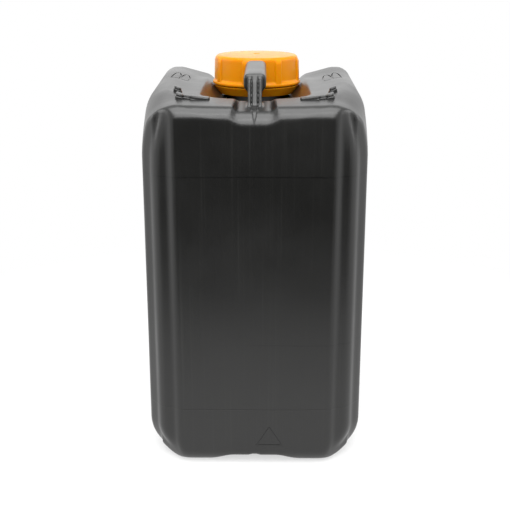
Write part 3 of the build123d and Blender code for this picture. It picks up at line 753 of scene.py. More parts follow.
def settle_mesh(thing):
    """Replaces an object's mesh by what its modifiers make of it, and drops the modifiers."""
    graph = bpy.context.evaluated_depsgraph_get()
    made = bpy.data.meshes.new_from_object(thing.evaluated_get(graph), depsgraph=graph)
    old = thing.data
    thing.modifiers.clear()
    thing.data = made
    bpy.data.meshes.remove(old)
    made.name = thing.name
    return thing


def run_tree(thing, tree, values):
    """Runs a tree on an object with its inputs set by name, and keeps the plain mesh."""
    modifier = thing.modifiers.new(tree.name, "NODES")
    modifier.node_group = tree
    for item in tree.interface.items_tree:
        if item.in_out == "INPUT" and item.name in values:
            modifier[item.identifier] = values[item.name]
    return settle_mesh(thing)


def combine(thing, tool, operation):
    """Joins a closed tool to an object or cuts it away, and removes the tool."""
    modifier = thing.modifiers.new(operation.title(), "BOOLEAN")
    modifier.operation = operation
    modifier.solver = "MANIFOLD"
    modifier.object = tool
    settle_mesh(thing)
    if not thing.data.polygons:
        raise RuntimeError(f"{operation} left nothing of {thing.name}")
    spare = tool.data
    bpy.data.objects.remove(tool)
    bpy.data.meshes.remove(spare)
    return thing


def finish_piece(thing, material, body, node, crease):
    """Shades, paints and seats a finished piece on its body in place of its CAD node.

    Edges that turn by more than the crease, in degrees, stay sharp.
    """
    thing.data.materials.clear()
    thing.data.materials.append(material)
    thing.data.shade_smooth()
    thing.data.set_sharp_from_angle(angle=math.radians(crease))
    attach(thing, body)
    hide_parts(node)


def thread_tree(material):
    """A rounded ridge along a helix about the closure's axis, running out at both ends."""
    tree, given = new_tree(
        "Screw thread",
        {
            "Turns": "NodeSocketFloat",
            "Pitch": "NodeSocketFloat",
            "Helix Radius": "NodeSocketFloat",
            "Ridge Radius": "NodeSocketFloat",
            "Place": "NodeSocketVector",
        },
    )
    rise = add_node(tree, "ShaderNodeMath", {0: given["Turns"], 1: given["Pitch"]}, operation="MULTIPLY")
    helix = add_node(
        tree,
        "GeometryNodeCurveSpiral",
        {
            "Resolution": THREAD_STEPS,
            "Rotations": given["Turns"],
            "Start Radius": given["Helix Radius"],
            "End Radius": given["Helix Radius"],
            "Height": rise.outputs[0],
        },
    )
    along = add_node(tree, "GeometryNodeSplineParameter")
    from_end = add_node(tree, "ShaderNodeMath", {0: along.outputs["Factor"], 1: 0.5}, operation="SUBTRACT")
    from_end = add_node(tree, "ShaderNodeMath", {0: from_end.outputs[0]}, operation="ABSOLUTE")
    run_out = add_node(
        tree,
        "ShaderNodeMapRange",
        {
            "Value": from_end.outputs[0],
            "From Min": RUN_OUT_START,
            "From Max": 0.5,
            "To Min": 1.0,
            "To Max": RUN_OUT_SIZE,
        },
        interpolation_type="SMOOTHSTEP",
    )
    sized = add_node(
        tree,
        "GeometryNodeSetCurveRadius",
        {"Curve": helix.outputs["Curve"], "Radius": run_out.outputs["Result"]},
    )
    profile = add_node(
        tree,
        "GeometryNodeCurvePrimitiveCircle",
        {"Resolution": RIDGE_SIDES, "Radius": given["Ridge Radius"]},
    )
    ridge = add_node(
        tree,
        "GeometryNodeCurveToMesh",
        {
            "Curve": sized.outputs["Curve"],
            "Profile Curve": profile.outputs["Curve"],
            "Scale": run_out.outputs["Result"],
            "Fill Caps": True,
        },
    )
    placed = add_node(
        tree,
        "GeometryNodeTransform",
        {"Geometry": ridge.outputs["Mesh"], "Translation": given["Place"]},
    )
    end_tree(tree, placed.outputs["Geometry"], material)
    return tree


def thread_mesh(name, tree, closure, helix_radius, start_z):
    """A plain mesh of one thread ridge."""
    values = {
        "Turns": closure.thread_turns,
        "Pitch": closure.pitch,
        "Helix Radius": helix_radius,
        "Ridge Radius": closure.thread_radius,
        "Place": (CLOSURE_AXIS.x, CLOSURE_AXIS.y, start_z),
    }
    return run_tree(plain_mesh(name, [], []), tree, values)


def rib_tree(material):
    """Pushes a turned skirt out into evenly spaced upright ribs with sloping flanks and tops."""
    tree, given = new_tree(
        "Cap ribs",
        {
            "Rib Count": "NodeSocketInt",
            "First Rib": "NodeSocketFloat",
            "Rib Width": "NodeSocketFloat",
            "Rib Height": "NodeSocketFloat",
            "Rib Flank": "NodeSocketFloat",
            "Rib Top": "NodeSocketFloat",
            "Rib Foot": "NodeSocketFloat",
            "Rib Chamfer": "NodeSocketFloat",
            "Skirt Radius": "NodeSocketFloat",
            "Skirt Tolerance": "NodeSocketFloat",
            "Axis": "NodeSocketVector",
        },
    )
    place = add_node(tree, "GeometryNodeInputPosition")
    from_axis = add_node(
        tree, "ShaderNodeVectorMath", {0: place.outputs[0], 1: given["Axis"]}, operation="SUBTRACT"
    )
    parts = add_node(tree, "ShaderNodeSeparateXYZ", {0: from_axis.outputs[0]})
    flat = add_node(tree, "ShaderNodeCombineXYZ", {"X": parts.outputs["X"], "Y": parts.outputs["Y"]})
    radius = add_node(tree, "ShaderNodeVectorMath", {0: flat.outputs[0]}, operation="LENGTH")
    outwards = add_node(tree, "ShaderNodeVectorMath", {0: flat.outputs[0]}, operation="NORMALIZE")
    turn = add_node(
        tree, "ShaderNodeMath", {0: parts.outputs["Y"], 1: parts.outputs["X"]}, operation="ARCTAN2"
    )
    turn = add_node(tree, "ShaderNodeMath", {0: turn.outputs[0], 1: given["First Rib"]}, operation="SUBTRACT")
    spacing = add_node(tree, "ShaderNodeMath", {0: TURN, 1: given["Rib Count"]}, operation="DIVIDE")
    half = add_node(tree, "ShaderNodeMath", {0: spacing.outputs[0], 1: 0.5}, operation="MULTIPLY")
    minus_half = add_node(tree, "ShaderNodeMath", {0: half.outputs[0], 1: -1.0}, operation="MULTIPLY")
    nearest = add_node(
        tree,
        "ShaderNodeMath",
        {0: turn.outputs[0], 1: half.outputs[0], 2: minus_half.outputs[0]},
        operation="WRAP",
    )
    nearest = add_node(tree, "ShaderNodeMath", {0: nearest.outputs[0]}, operation="ABSOLUTE")
    arc = add_node(
        tree, "ShaderNodeMath", {0: nearest.outputs[0], 1: given["Skirt Radius"]}, operation="MULTIPLY"
    )
    half_width = add_node(tree, "ShaderNodeMath", {0: given["Rib Width"], 1: 0.5}, operation="MULTIPLY")
    crown = add_node(
        tree, "ShaderNodeMath", {0: half_width.outputs[0], 1: given["Rib Flank"]}, operation="SUBTRACT"
    )
    across = add_node(
        tree,
        "ShaderNodeMapRange",
        {
            "Value": arc.outputs[0],
            "From Min": crown.outputs[0],
            "From Max": half_width.outputs[0],
            "To Min": 1.0,
            "To Max": 0.0,
        },
        interpolation_type="SMOOTHSTEP",
    )
    shoulder = add_node(
        tree, "ShaderNodeMath", {0: given["Rib Top"], 1: given["Rib Chamfer"]}, operation="SUBTRACT"
    )
    upright = add_node(
        tree,
        "ShaderNodeMapRange",
        {
            "Value": parts.outputs["Z"],
            "From Min": shoulder.outputs[0],
            "From Max": given["Rib Top"],
            "To Min": 1.0,
            "To Max": 0.0,
        },
    )
    push = add_node(
        tree, "ShaderNodeMath", {0: across.outputs[0], 1: upright.outputs[0]}, operation="MULTIPLY"
    )
    push = add_node(
        tree, "ShaderNodeMath", {0: push.outputs[0], 1: given["Rib Height"]}, operation="MULTIPLY"
    )
    above_foot = add_node(
        tree, "ShaderNodeMath", {0: parts.outputs["Z"], 1: given["Rib Foot"]}, operation="GREATER_THAN"
    )
    off_skirt = add_node(
        tree, "ShaderNodeMath", {0: radius.outputs["Value"], 1: given["Skirt Radius"]}, operation="SUBTRACT"
    )
    flare = add_node(tree, "ShaderNodeMath", {0: off_skirt.outputs[0], 1: 0.0}, operation="MAXIMUM")
    push = add_node(tree, "ShaderNodeMath", {0: push.outputs[0], 1: flare.outputs[0]}, operation="SUBTRACT")
    push = add_node(tree, "ShaderNodeMath", {0: push.outputs[0], 1: 0.0}, operation="MAXIMUM")
    offset = add_node(
        tree, "ShaderNodeVectorMath", {0: outwards.outputs[0], "Scale": push.outputs[0]}, operation="SCALE"
    )
    off_skirt = add_node(tree, "ShaderNodeMath", {0: off_skirt.outputs[0]}, operation="ABSOLUTE")
    on_skirt = add_node(
        tree,
        "ShaderNodeMath",
        {0: off_skirt.outputs[0], 1: given["Skirt Tolerance"]},
        operation="LESS_THAN",
    )
    on_skirt = add_node(
        tree, "ShaderNodeMath", {0: on_skirt.outputs[0], 1: above_foot.outputs[0]}, operation="MULTIPLY"
    )
    ribbed = add_node(
        tree,
        "GeometryNodeSetPosition",
        {
            "Geometry": given["Geometry"],
            "Selection": on_skirt.outputs[0],
            "Offset": offset.outputs[0],
        },
    )
    end_tree(tree, ribbed.outputs["Geometry"], material)
    return tree


def bridge_tree(material):
    """Small bridges, evenly spaced along the tamper ring's top edge, that reach up to the cap."""
    tree, given = new_tree(
        "Tamper bridges",
        {
            "Bridge Count": "NodeSocketInt",
            "Ring Radius": "NodeSocketFloat",
            "Bridge Size": "NodeSocketVector",
            "Place": "NodeSocketVector",
        },
    )
    circle = add_node(
        tree,
        "GeometryNodeCurvePrimitiveCircle",
        {"Resolution": given["Bridge Count"], "Radius": given["Ring Radius"]},
    )
    spots = add_node(tree, "GeometryNodeCurveToPoints", {"Curve": circle.outputs[0]}, mode="EVALUATED")
    block = add_node(tree, "GeometryNodeMeshCube", {"Size": given["Bridge Size"]})
    stubs = add_node(
        tree,
        "GeometryNodeInstanceOnPoints",
        {
            "Points": spots.outputs["Points"],
            "Instance": block.outputs["Mesh"],
            "Rotation": spots.outputs["Rotation"],
        },
    )
    placed = add_node(
        tree,
        "GeometryNodeTransform",
        {"Geometry": stubs.outputs["Instances"], "Translation": given["Place"]},
    )
    end_tree(tree, placed.outputs["Geometry"], material)
    return tree


# Materials


def new_material(name):
    """An empty node material with its shader, output and object coordinates."""
    material = bpy.data.materials.new(name)
    material.use_nodes = True
    tree = material.node_tree
    tree.nodes.clear()
    place = add_node(tree, "ShaderNodeTexCoord").outputs["Object"]
    return material, tree, place


def spacing_scale(millimetres):
    """The texture scale that repeats about once in a real distance."""
    return 1 / (millimetres * MM)


def mould_line(tree, distance, half_width):
    """One along a thin mould line and nothing beyond it, from a signed distance to the line."""
    away = add_node(tree, "ShaderNodeMath", {0: distance}, operation="ABSOLUTE")
    line = add_node(
        tree,
        "ShaderNodeMapRange",
        {"Value": away.outputs[0], "From Min": 0.0, "From Max": half_width, "To Min": 1.0, "To Max": 0.0},
        interpolation_type="SMOOTHSTEP",
    )
    return line.outputs["Result"]


def blown_black_polyethylene(rgb, joint_shade_rgb, seams):
    """High-density polyethylene, extruded and blown: satin black with upright die streaks, soft
    orange-peel, mould joints across the walls and a parting line down the middle. The joints are drawn
    wider than the real hairlines, so that they show, and the upper two are darkened in colour:
    painted shade for their narrow grooves."""
    parting_half = 0.4 * MM
    joint_half = 0.6 * MM
    waver_reach = 0.8 * MM
    streak_gain = 1.9
    material, tree, place = new_material("Black blown polyethylene")
    parts = add_node(tree, "ShaderNodeSeparateXYZ", {0: place}).outputs
    streak_place = add_node(tree, "ShaderNodeMapping", {"Vector": place, "Scale": (1.0, 1.0, 0.012)})
    streaks = add_node(
        tree,
        "ShaderNodeTexNoise",
        {"Vector": streak_place.outputs[0], "Scale": spacing_scale(3.2), "Detail": 3.0, "Roughness": 0.6},
    )
    peel = add_node(tree, "ShaderNodeTexNoise", {"Vector": place, "Scale": spacing_scale(1.6), "Detail": 2.0})
    haze = add_node(
        tree, "ShaderNodeTexNoise", {"Vector": place, "Scale": spacing_scale(38.0), "Detail": 4.0}
    )
    waver = add_node(
        tree,
        "ShaderNodeMapRange",
        {"Value": haze.outputs["Fac"], "To Min": -waver_reach, "To Max": waver_reach},
    )
    wavy = add_node(tree, "ShaderNodeMath", {0: parts["Z"], 1: waver.outputs[0]}, operation="ADD")
    middle = mould_line(tree, parts["X"], parting_half)
    joints = []
    for seam in seams:
        off_seam = add_node(tree, "ShaderNodeMath", {0: wavy.outputs[0], 1: seam}, operation="SUBTRACT")
        joints.append(mould_line(tree, off_seam.outputs[0], joint_half))
    lines = add_node(
        tree, "ShaderNodeMath", {0: middle, 1: 0.5, 2: joints[0]}, operation="MULTIPLY_ADD"
    ).outputs[0]
    right_half = add_node(
        tree,
        "ShaderNodeMapRange",
        {"Value": parts["X"], "From Min": -8 * MM, "From Max": 6 * MM},
    )
    part_joint = add_node(
        tree, "ShaderNodeMath", {0: joints[1], 1: right_half.outputs[0]}, operation="MULTIPLY"
    )
    dark = add_node(tree, "ShaderNodeMath", {0: part_joint.outputs[0], 1: joints[2]}, operation="MAXIMUM")
    scratch_place = add_node(tree, "ShaderNodeMapping", {"Vector": place, "Scale": (1.0, 0.2, 0.009)})
    scratches = add_node(
        tree,
        "ShaderNodeTexNoise",
        {"Vector": scratch_place.outputs[0], "Scale": spacing_scale(1.5), "Detail": 1.0},
    )
    pale = add_node(
        tree, "ShaderNodeMapRange", {"Value": scratches.outputs["Fac"], "From Min": 0.6, "From Max": 0.8}
    )
    streaked = [c * streak_gain for c in rgb]
    colour = add_node(
        tree,
        "ShaderNodeMix",
        {0: pale.outputs[0], 6: (*rgb, 1.0), 7: (*streaked, 1.0)},
        data_type="RGBA",
    )
    # Painted shade: along the upper two mould joints the colour turns near-black, in place of the shade in
    # their grooves
    colour = add_node(
        tree,
        "ShaderNodeMix",
        {0: dark.outputs[0], 6: colour.outputs[2], 7: (*joint_shade_rgb, 1.0)},
        data_type="RGBA",
    )
    height = add_node(tree, "ShaderNodeMath", {0: peel.outputs["Fac"], 1: 0.5}, operation="MULTIPLY")
    height = add_node(
        tree, "ShaderNodeMath", {0: streaks.outputs["Fac"], 1: height.outputs[0]}, operation="ADD"
    )
    height = add_node(tree, "ShaderNodeMath", {0: lines, 1: height.outputs[0]}, operation="ADD")
    bump = add_node(
        tree, "ShaderNodeBump", {"Height": height.outputs[0], "Strength": 0.35, "Distance": 0.2 * MM}
    )
    roughness = add_node(
        tree,
        "ShaderNodeMapRange",
        {"Value": haze.outputs["Fac"], "From Min": 0.3, "From Max": 0.7, "To Min": 0.28, "To Max": 0.36},
    )
    shader = add_node(
        tree,
        "ShaderNodeBsdfPrincipled",
        {
            "Base Color": colour.outputs[2],
            "Roughness": roughness.outputs[0],
            "IOR": 1.54,
            "Normal": bump.outputs["Normal"],
        },
    )
    add_node(tree, "ShaderNodeOutputMaterial", {"Surface": shader.outputs["BSDF"]})
    return material


def moulded_amber_polyethylene(rgb):
    """Polyethylene coloured amber and injection moulded: satin, slightly cloudy and letting some light
    through, with a fine spark-eroded grain that is drawn coarser than the real one, so that it shows."""
    material, tree, place = new_material("Amber moulded polyethylene")
    cloud = add_node(
        tree, "ShaderNodeTexNoise", {"Vector": place, "Scale": spacing_scale(22.0), "Detail": 3.0}
    )
    cloud_shares = (0.93, 0.86, 0.7)
    deeper = [c * share for c, share in zip(rgb, cloud_shares)]
    tint = add_node(
        tree,
        "ShaderNodeMix",
        {0: cloud.outputs["Fac"], 6: (*deeper, 1.0), 7: (*rgb, 1.0)},
        data_type="RGBA",
    )
    grain = add_node(
        tree, "ShaderNodeTexNoise", {"Vector": place, "Scale": spacing_scale(0.6), "Detail": 2.0}
    )
    bump = add_node(
        tree, "ShaderNodeBump", {"Height": grain.outputs["Fac"], "Strength": 0.08, "Distance": 0.1 * MM}
    )
    shader = add_node(
        tree,
        "ShaderNodeBsdfPrincipled",
        {
            "Base Color": tint.outputs[2],
            "Roughness": 0.28,
            "IOR": 1.5,
            "Specular IOR Level": 0.12,
            "Subsurface Weight": 0.5,
            "Subsurface Radius": (1.0, 0.42, 0.06),
            "Subsurface Scale": 6.0 * MM,
            "Normal": bump.outputs["Normal"],
        },
    )
    add_node(tree, "ShaderNodeOutputMaterial", {"Surface": shader.outputs["BSDF"]})
    return material


def expanded_polyethylene(rgb):
    """Expanded polyethylene foam sheet, punched: matt off-white with fine closed cells, drawn a little
    coarse so that they show."""
    material, tree, place = new_material("Off-white polyethylene foam")
    cells = add_node(tree, "ShaderNodeTexVoronoi", {"Vector": place, "Scale": spacing_scale(0.7)})
    bump = add_node(
        tree, "ShaderNodeBump", {"Height": cells.outputs["Distance"], "Strength": 0.4, "Distance": 0.2 * MM}
    )
    shader = add_node(
        tree,
        "ShaderNodeBsdfPrincipled",
        {"Base Color": (*rgb, 1.0), "Roughness": 0.85, "IOR": 1.5, "Normal": bump.outputs["Normal"]},
    )
    add_node(tree, "ShaderNodeOutputMaterial", {"Surface": shader.outputs["BSDF"]})
    return material


# Operators


class JERRYCAN_OT_container(bpy.types.Operator):
    """Build the blown container with its handle, lugs and threaded neck"""

    bl_idname = "jerrycan.container"
    bl_label = "Container"

    def execute(self, context):
        settings = context.scene
        shell, handle = settings.jerrycan_shell, settings.jerrycan_handle
        closure = settings.jerrycan_closure
        material = blown_black_polyethylene(shell.plastic, shell.joint, shell.seams)
        can = field_mesh(
            "jerrycan_container",
            lambda x, y, z: container_field(settings, x, y, z),
            self.outer_lines(shell, handle),
            shell.close_grid,
        )
        inside = field_mesh(
            "inside",
            lambda x, y, z: shell_field(settings, x, y, z) + shell.wall,
            self.inner_lines(shell),
            shell.inside_grid,
        )
        combine(can, self.neck(shell, handle, closure), "UNION")
        thread = thread_tree(material)
        thread_z = CAP_HIGH.z - closure.neck_thread_drop - closure.thread_turns * closure.pitch
        combine(can, thread_mesh("thread", thread, closure, handle.neck_radius, thread_z), "UNION")
        combine(can, self.mark(shell, handle), "UNION")
        for lug in self.lugs(shell, handle):
            combine(can, lug, "UNION")
        for pad in self.pads(shell):
            combine(can, pad, "DIFFERENCE")
        combine(can, inside, "DIFFERENCE")
        combine(can, self.bore(shell, handle), "DIFFERENCE")
        finish_piece(can, material, "can", "container", 42)
        return {"FINISHED"}

    def outer_lines(self, shell, handle):
        """Graded grid lines: finest across the handle, close on the top, wide up the walls."""
        side, end = shell.width / 2, shell.depth / 2
        margin = shell.plain_grid * 2
        middle = handle.grip_width / 2 + margin / 2
        right = graded_line(0.0, [(middle, shell.fine_grid), (side + margin, shell.plain_grid)])
        across = np.concatenate([-right[:0:-1], right])
        post_rear = handle.front - end + handle.post_depth
        along = graded_line(
            -end - margin, [(post_rear, shell.handle_grid), (end + margin, shell.plain_grid)]
        )
        foot = shell.base_radius + margin
        pocket = shell.shoulder_height - shell.saddle_depth - shell.pocket_depth - 2 * margin
        up = graded_line(
            -margin,
            [
                (foot, shell.plain_grid),
                (pocket, shell.wide_grid),
                (shell.shoulder_height - shell.saddle_depth, shell.close_grid),
                (CAN_HIGH.z + margin, shell.handle_grid),
            ],
        )
        return [across, along, up]

    def inner_lines(self, shell):
        """Evenly spaced grid lines for the inner face."""
        step = shell.inside_grid
        side, end = shell.width / 2 + step, shell.depth / 2 + step
        top = shell.shoulder_height + step
        return [
            graded_line(-side, [(side, step)]),
            graded_line(-end, [(end, step)]),
            graded_line(-step, [(top, step)]),
        ]

    def neck(self, shell, handle, closure):
        """The neck's blank with the bead that holds the tamper ring down."""
        floor = shell.shoulder_height - shell.saddle_depth - shell.pocket_depth
        rim = CAP_HIGH.z - handle.neck_drop
        bead = RING_LOW.z + closure.ring_lip + handle.bead_play
        bead_radius = handle.neck_radius + handle.bead_proud
        soft = 0.3 * MM
        corners = [
            (0, floor - shell.wall / 2, 0),
            (handle.neck_radius + handle.neck_root, floor - shell.wall / 2, 0),
            (handle.neck_radius + handle.neck_root, floor, 0),
            (handle.neck_radius, floor + handle.neck_root, 2 * MM),
            (handle.neck_radius, bead, 0),
            (bead_radius, bead, soft),
            (bead_radius, bead + handle.bead_height / 3, soft),
            (handle.neck_radius, bead + handle.bead_height, 0.5 * MM),
            (handle.neck_radius, rim, 0.6 * MM),
            (0, rim, 0),
        ]
        return turned("neck", rounded_profile(corners, handle.neck_bore), NECK_SEGMENTS)

    def bore(self, shell, handle):
        """The pouring bore from inside the can up through the neck."""
        start = shell.shoulder_height - shell.saddle_depth - shell.pocket_depth - shell.base_radius
        corners = [
            (0, start, 0),
            (handle.neck_bore, start, 0),
            (handle.neck_bore, CAN_HIGH.z, 0),
            (0, CAN_HIGH.z, 0),
        ]
        return turned("bore", rounded_profile(corners, handle.neck_bore * 2), NECK_SEGMENTS)

    def lugs(self, shell, handle):
        """On each front shoulder a bar linked to a stud, and one more stud: they locate the can above."""
        middle = handle.lug_setback - shell.depth / 2
        half_depth, half_stud = handle.lug_depth / 2, handle.stud_size / 2
        rear_stud = handle.stud_offset + handle.stud_stagger
        height = handle.lug_height
        link_height = LINK_HEIGHT_SHARE * height
        blocks = [
            (handle.link_offset, middle + handle.link_back, handle.link_length / 2, half_depth, link_height),
            (handle.bar_offset, middle, handle.bar_length / 2, half_depth, height),
            (handle.stud_offset, middle, half_stud, half_depth, height),
            (rear_stud, middle + handle.stud_spacing, half_stud, half_stud, height),
        ]
        return [
            self.lug(shell, handle, side * x, y, half_x, half_y, tall)
            for side in (-1, 1)
            for x, y, half_x, half_y, tall in blocks
        ]

    def lug(self, shell, handle, x, y, half_x, half_y, height):
        """A rounded block on a shoulder, its top leaning down towards the middle of the can."""
        edge, foot = handle.lug_edge, handle.lug_foot
        # Inset and drop of each ring of points, from the spreading foot up to the rounded top
        levels = [
            (-foot, height + shell.wall),
            (-foot, height - foot / 4),
            (0.0, height - foot),
            (0.0, edge),
            (0.3 * edge, 0.3 * edge),
            (edge, 0.0),
        ]
        points, size = [], 0
        for inset, drop in levels:
            corner = 2 * edge - inset
            ring = []
            for quarter, (sign_x, sign_y) in enumerate(((1, 1), (-1, 1), (-1, -1), (1, -1))):
                for step in range(LUG_CORNER_STEPS + 1):
                    turn = math.pi / 2 * (quarter + step / LUG_CORNER_STEPS)
                    across = sign_x * (half_x - 2 * edge) + corner * math.cos(turn)
                    along = sign_y * (half_y - 2 * edge) + corner * math.sin(turn)
                    lean = (abs(x + across) - handle.lug_level) * math.tan(handle.lug_lean)
                    top = float(shoulder_z(shell, x + across, y + along)) + height + lean
                    ring.append((x + across, y + along, top - drop))
            points += ring
            size = len(ring)
        faces = [tuple(range(size))[::-1], tuple(range(len(points) - size, len(points)))]
        for level in range(len(levels) - 1):
            for k in range(size):
                n = (k + 1) % size
                low, high = level * size, (level + 1) * size
                faces.append((low + k, low + n, high + n, high + k))
        return plain_mesh("lug", points, faces)

    def pads(self, shell):
        """Tools for the two engraved pad outlines on each shoulder, laid along its rise."""
        tools = []
        half = shell.pad_width / 2
        outer = self.pad_outline(shell, 0.0)
        inner = self.pad_outline(shell, shell.pad_line)
        for inside in (0, 1):
            x = shell.width / 2 - shell.pad_side - inside * shell.pad_spacing
            y = shell.depth / 2 - shell.pad_rear + (1 - inside) * shell.pad_stagger
            low, high = shoulder_z(shell, x - half, y), shoulder_z(shell, x + half, y)
            slope = math.atan2(high - low, shell.pad_width)
            for side in (-1, 1):

                def place(across, along, up):
                    shift = side * across * math.cos(slope) - up * math.sin(slope)
                    rise = side * across * math.sin(slope) + up * math.cos(slope)
                    return (side * (x + shift), y + along, (low + high) / 2 + rise)

                tools.append(outlined_prism("pad", outer, inner, place, -shell.pad_depth, shell.pad_depth))
        return tools

    def pad_outline(self, shell, inset):
        """A pad seen from above: square at the front, arched at the back."""
        half = shell.pad_width / 2 - inset
        end = shell.pad_length / 2 - inset
        arch = shell.pad_arch - inset
        turns = [math.pi * step / PAD_ARCH_STEPS for step in range(PAD_ARCH_STEPS + 1)]
        rear = [(half * math.cos(turn), end - arch + arch * math.sin(turn)) for turn in turns]
        return [(-half, -end), (half, -end)] + rear

    def mark(self, shell, handle):
        """A plain raised triangle, outlined, low on the front face."""
        base, apex = handle.mark_base, handle.mark_base + handle.mark_height
        half = handle.mark_width / 2
        slant = math.hypot(half, handle.mark_height)
        inner_base = base + handle.mark_line
        inner_apex = apex - handle.mark_line * slant / half
        inner_half = half * (inner_apex - inner_base) / handle.mark_height
        outer = [(-half, base), (half, base), (0, apex)]
        inner = [(-inner_half, inner_base), (inner_half, inner_base), (0, inner_apex)]

        def place(across, up, out):
            return (handle.mark_offset + across, -shell.depth / 2 - out, up)

        return outlined_prism("mark", outer, inner, place, -shell.wall / 2, handle.mark_proud)


class JERRYCAN_OT_cap(bpy.types.Operator):
    """Build the ribbed screw cap with its inner thread"""

    bl_idname = "jerrycan.cap"
    bl_label = "Screw Cap"

    def execute(self, context):
        closure = context.scene.jerrycan_closure
        material = moulded_amber_polyethylene(closure.plastic)
        top, skirt = CAP_HIGH.z, CAP_LOW.z
        bead_radius = (CAP_HIGH.x - CAP_LOW.x) / 2
        rim = top - closure.cap_dome
        bead_top = skirt + closure.cap_bead * 1.25
        bead_crest = skirt + closure.cap_bead * 0.6
        dome_radius, dome_z = closure.cap_radius * 0.55, top - closure.cap_dome * 0.28
        soft, round_bead = 0.3 * MM, 0.9 * MM
        corners = [
            (0, top - closure.gate_depth, 0),
            (closure.gate_radius, top - closure.gate_depth, soft),
            (closure.gate_radius + closure.gate_depth, top, soft),
            (dome_radius, dome_z, 12 * MM),
            (closure.cap_radius - closure.cap_taper, rim, closure.cap_edge),
            (closure.cap_radius, bead_top, 2.0 * MM),
            (bead_radius, bead_crest, round_bead),
            (bead_radius, skirt, round_bead),
            (closure.cap_bore, skirt, 0.4 * MM),
            (closure.cap_bore, top - closure.cap_roof, 1.0 * MM),
            (0, top - closure.cap_roof, 0),
        ]
        cap = turned("screw_cap", rounded_profile(corners, closure.profile_step), closure.segments)
        cap.data.flip_normals()
        run_tree(
            cap,
            rib_tree(material),
            {
                "Rib Count": closure.rib_count,
                "First Rib": closure.rib_first,
                "Rib Width": closure.rib_width,
                "Rib Height": closure.rib_height,
                "Rib Flank": closure.rib_flank,
                "Rib Top": top - closure.rib_drop,
                "Rib Foot": bead_crest,
                "Rib Chamfer": closure.rib_chamfer,
                "Skirt Radius": closure.cap_radius,
                "Skirt Tolerance": closure.cap_edge * 0.6,
                "Axis": CLOSURE_AXIS,
            },
        )
        start = top - closure.neck_thread_drop - (closure.thread_turns + 0.5) * closure.pitch
        combine(
            cap,
            thread_mesh("cap_thread", thread_tree(material), closure, closure.cap_bore, start),
            "UNION",
        )
        finish_piece(cap, material, "cap", "cap", 38)
        return {"FINISHED"}


class JERRYCAN_OT_tamper_ring(bpy.types.Operator):
    """Build the tamper ring with its bridges"""

    bl_idname = "jerrycan.tamper_ring"
    bl_label = "Tamper Ring"

    def execute(self, context):
        closure = context.scene.jerrycan_closure
        material = moulded_amber_polyethylene(closure.plastic)
        outer = (RING_HIGH.x - RING_LOW.x) / 2
        inner = outer - closure.ring_wall
        soft = 0.35 * MM
        corners = [
            (inner, RING_HIGH.z, 0),
            (outer, RING_HIGH.z, soft),
            (outer - closure.ring_taper, RING_LOW.z, soft),
            (closure.ring_lip_radius, RING_LOW.z, soft),
            (closure.ring_lip_radius, RING_LOW.z + closure.ring_lip, soft),
            (inner, RING_LOW.z + closure.ring_lip, 0),
        ]
        ring = turned(
            "tamper_evident_ring",
            rounded_profile(corners, closure.profile_step),
            closure.segments // 2,
            closed=True,
        )
        ring.data.flip_normals()
        # A bridge stands half inside the ring, and its second side is the upright one
        size = (closure.bridge_width, 2 * closure.bridge_height, closure.bridge_depth)
        bridges = run_tree(
            plain_mesh("bridges", [], []),
            bridge_tree(material),
            {
                "Bridge Count": closure.bridge_count,
                "Ring Radius": outer - closure.ring_wall / 2,
                "Bridge Size": size,
                "Place": (CLOSURE_AXIS.x, CLOSURE_AXIS.y, RING_HIGH.z),
            },
        )
        combine(ring, bridges, "UNION")
        finish_piece(ring, material, "can", "tamper_ring", 38)
        return {"FINISHED"}


class JERRYCAN_OT_seal_disc(bpy.types.Operator):
    """Build the sealing disc under the cap's roof"""

    bl_idname = "jerrycan.seal_disc"
    bl_label = "Sealing Disc"

    def execute(self, context):
        closure = context.scene.jerrycan_closure
        radius = (SEAL_HIGH.x - SEAL_LOW.x) / 2
        corners = [
            (0, SEAL_LOW.z, 0),
            (radius, SEAL_LOW.z, closure.seal_edge),
            (radius, SEAL_HIGH.z, closure.seal_edge),
            (0, SEAL_HIGH.z, 0),
        ]
        disc = turned("foam_seal", rounded_profile(corners, closure.profile_step * 4), SEAL_SEGMENTS)
        finish_piece(disc, expanded_polyethylene(closure.foam), "seal", "seal_disc", 60)
        return {"FINISHED"}


